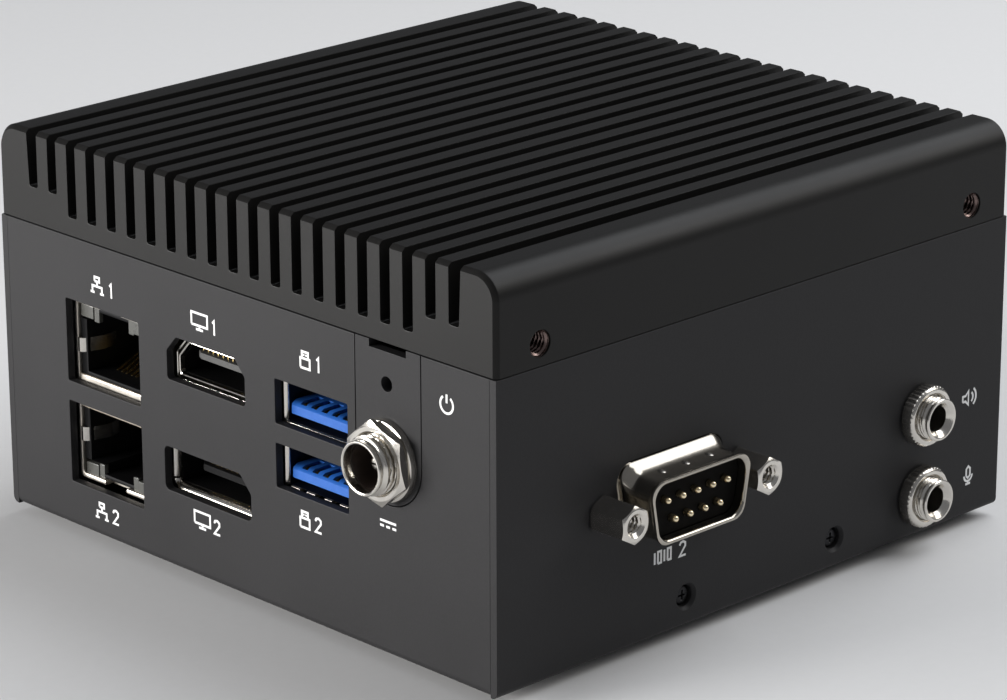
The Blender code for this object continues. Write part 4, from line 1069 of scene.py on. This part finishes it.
SERIAL = (
    [(-1.9, -0.8), (-1.9, 0.8)], [(-0.1, -0.8), (-0.1, 0.8)],
    [(-1.3, -0.8), (-0.7, -0.8), (-0.7, 0.8), (-1.3, 0.8), (-1.3, -0.8)],
    [(0.5, -0.8), (1.1, -0.8), (1.1, 0.8), (0.5, 0.8), (0.5, -0.8)],
)
SOUND_OUT = (
    [(-1.5, -0.4), (-0.9, -0.4), (-0.3, -1.0), (-0.3, 1.0), (-0.9, 0.4), (-1.5, 0.4), (-1.5, -0.4)],
    ring(-0.2, 0, 0.85, -50, 50), ring(-0.2, 0, 1.5, -50, 50),
)
MICROPHONE = (
    [(-0.4, -0.1), (-0.4, 0.9), (0.0, 1.25), (0.4, 0.9), (0.4, -0.1), (0.0, -0.45), (-0.4, -0.1)],
    ring(0, -0.05, 0.85, 180, 360), [(0, -0.9), (0, -1.3)], [(-0.5, -1.3), (0.5, -1.3)],
)
ONE = ([(-0.35, 0.6), (0.0, 1.0), (0.0, -1.0)],)
TWO = ([(-0.55, 0.55), (-0.35, 0.9), (0.1, 1.0), (0.5, 0.75), (0.5, 0.3), (-0.55, -0.95), (0.6, -0.95)],)


def make_print():
    """Generic white pictograms and port numbers where the panel is labelled."""
    front = (
        ("lan_1", -28.4, 36.8, NETWORK), ("lan_1_number", -25.4, 36.6, ONE),
        ("lan_2", -29.1, 3.95, NETWORK), ("lan_2_number", -26.1, 3.8, TWO),
        ("screen_1", -7.1, 36.6, SCREEN), ("screen_1_number", -4.1, 36.5, ONE),
        ("screen_2", -7.6, 8.4, SCREEN), ("screen_2_number", -4.6, 8.3, TWO),
        ("plug_1", 13.8, 36.5, PLUG), ("plug_1_number", 16.4, 36.4, ONE),
        ("plug_2", 13.2, 14.4, PLUG), ("plug_2_number", 15.8, 14.3, TWO),
        ("direct_current", INLET_X, 18.2, DIRECT), ("power", 40.2, 37.2, POWER),
    )
    side = (
        ("serial", COM_Y - 0.9, 11.2, SERIAL), ("serial_number", COM_Y + 2.4, 11.2, TWO),
        ("sound_out", 42.2, 17.6, SOUND_OUT), ("microphone", 42.4, 6.1, MICROPHONE),
    )
    left = (("serial_left", COM_Y, 11.2, SERIAL), ("serial_left_number", COM_Y - 3.3, 11.2, ONE))
    for axis, at, marks, mirror in (("y", FRONT, front, 1), ("x", SIDE, side, 1), ("x", -SIDE, left, -1)):
        outward = -1 if at < 0 else 1
        for name, u, v, strokes in marks:
            bm = bmesh.new()
            for layer, path in enumerate(strokes):
                path = [(u + mirror * a, v + b) for a, b in path]
                slab(bm, strip(path, 0.32), axis, at - outward * 0.03, at + outward * (0.02 + 0.001 * layer))
            piece(f"mark_{name}", bm, "print")


def main():
    make_heatsink()
    make_chassis()
    make_side_panels()
    make_power_plate()
    make_feet_and_screws()
    make_network_sockets()
    make_video_sockets()
    make_usb_sockets()
    make_power_inlet()
    make_serial_port(1, -1)
    make_serial_port(2, 1)
    make_audio_jacks()
    make_print()
    slots = {s["node"]: s["material_slot"] for s in frame["record"]["subparts"]}
    for name, node in frame["nodes"].items():
        node.data.materials.clear()
        node.data.materials.append(LOOKS[NODE_LOOKS[slots[name]]])


NODE_LOOKS = {
    "coated_aluminium": "lid",
    "coated_sheet": "sheet",
    "nickel": "nickel",
    "black_plastic": "plastic",
    "blue_plastic": "blue",
    "rubber": "rubber",
    "board": "board",
    "zinc_steel": "zinc",
    "black_steel": "oxide",
    "bare_aluminium": "bare",
    "pad": "pad",
    "ribbon": "ribbon",
}

main()


# --- studio ---

FLOOR_HALF = 1500
WORLD_COLOUR, WORLD_STRENGTH = (0.93, 0.95, 1.0, 1), 0.19
LIGHT_AIM = (0, 0, 25)
LIGHTS = (
    # name, place, width, height, watts, colour
    ("front softbox", (-330, -605, 120), 430, 230, 7.4, (1.0, 0.985, 0.97)),
    ("right softbox", (420, 540, 430), 360, 360, 1.05, (1.0, 0.96, 0.91)),
    ("top softbox", (120, 400, 600), 650, 650, 3.7, (0.95, 0.97, 1.0)),
)
CAMERA_AT, CAMERA_AIM = (395.0, -383.0, 212.2), (0.95, -0.92, 23.16)
CAMERA_LENS = 149.57
CAMERA_ROLL = -0.167  # degrees; the photo leans by this much


def make_studio():
    bm = bmesh.new()
    slab(bm, box_outline(-FLOOR_HALF, -FLOOR_HALF, FLOOR_HALF, FLOOR_HALF), "z", FLOOR - 5, FLOOR - 0.01)
    floor = mesh_object("floor", bm)
    paper = surface("floor paper", (0.80, 0.80, 0.80), 0.0, 0.75, grain=600, depth=0.01, tint=0.01, patch=3)
    floor.data.materials.append(paper)
    bpy.context.scene.view_settings.view_transform = "Standard"
    world = bpy.data.worlds.new("studio")
    bpy.context.scene.world = world
    world.use_nodes = True
    world.node_tree.nodes["Background"].inputs["Color"].default_value = WORLD_COLOUR
    world.node_tree.nodes["Background"].inputs["Strength"].default_value = WORLD_STRENGTH
    for name, place_at, width, height, power, colour in LIGHTS:
        light = bpy.data.lights.new(name, "AREA")
        light.shape = "RECTANGLE"
        light.size, light.size_y = width * MM, height * MM
        light.energy = power
        light.color = colour
        holder = bpy.data.objects.new(name, light)
        holder.location = [v * MM for v in place_at]
        direction = Vector(LIGHT_AIM) - Vector(place_at)
        holder.rotation_mode = "QUATERNION"
        holder.rotation_quaternion = direction.to_track_quat("-Z", "Y")
        bpy.context.scene.collection.objects.link(holder)


def make_camera():
    data = bpy.data.cameras.new("camera")
    data.lens = CAMERA_LENS
    data.sensor_width = 36.0
    data.clip_start, data.clip_end = 0.01, 20
    camera = bpy.data.objects.new("camera", data)
    camera.location = [v * MM for v in CAMERA_AT]
    aim = Vector([v * MM for v in CAMERA_AIM]) - camera.location
    turn = aim.to_track_quat("-Z", "Y")
    camera.rotation_mode = "QUATERNION"
    camera.rotation_quaternion = turn @ Quaternion((0, 0, 1), math.radians(CAMERA_ROLL))
    bpy.context.scene.collection.objects.link(camera)
    bpy.context.scene.camera = camera


make_studio()
make_camera()
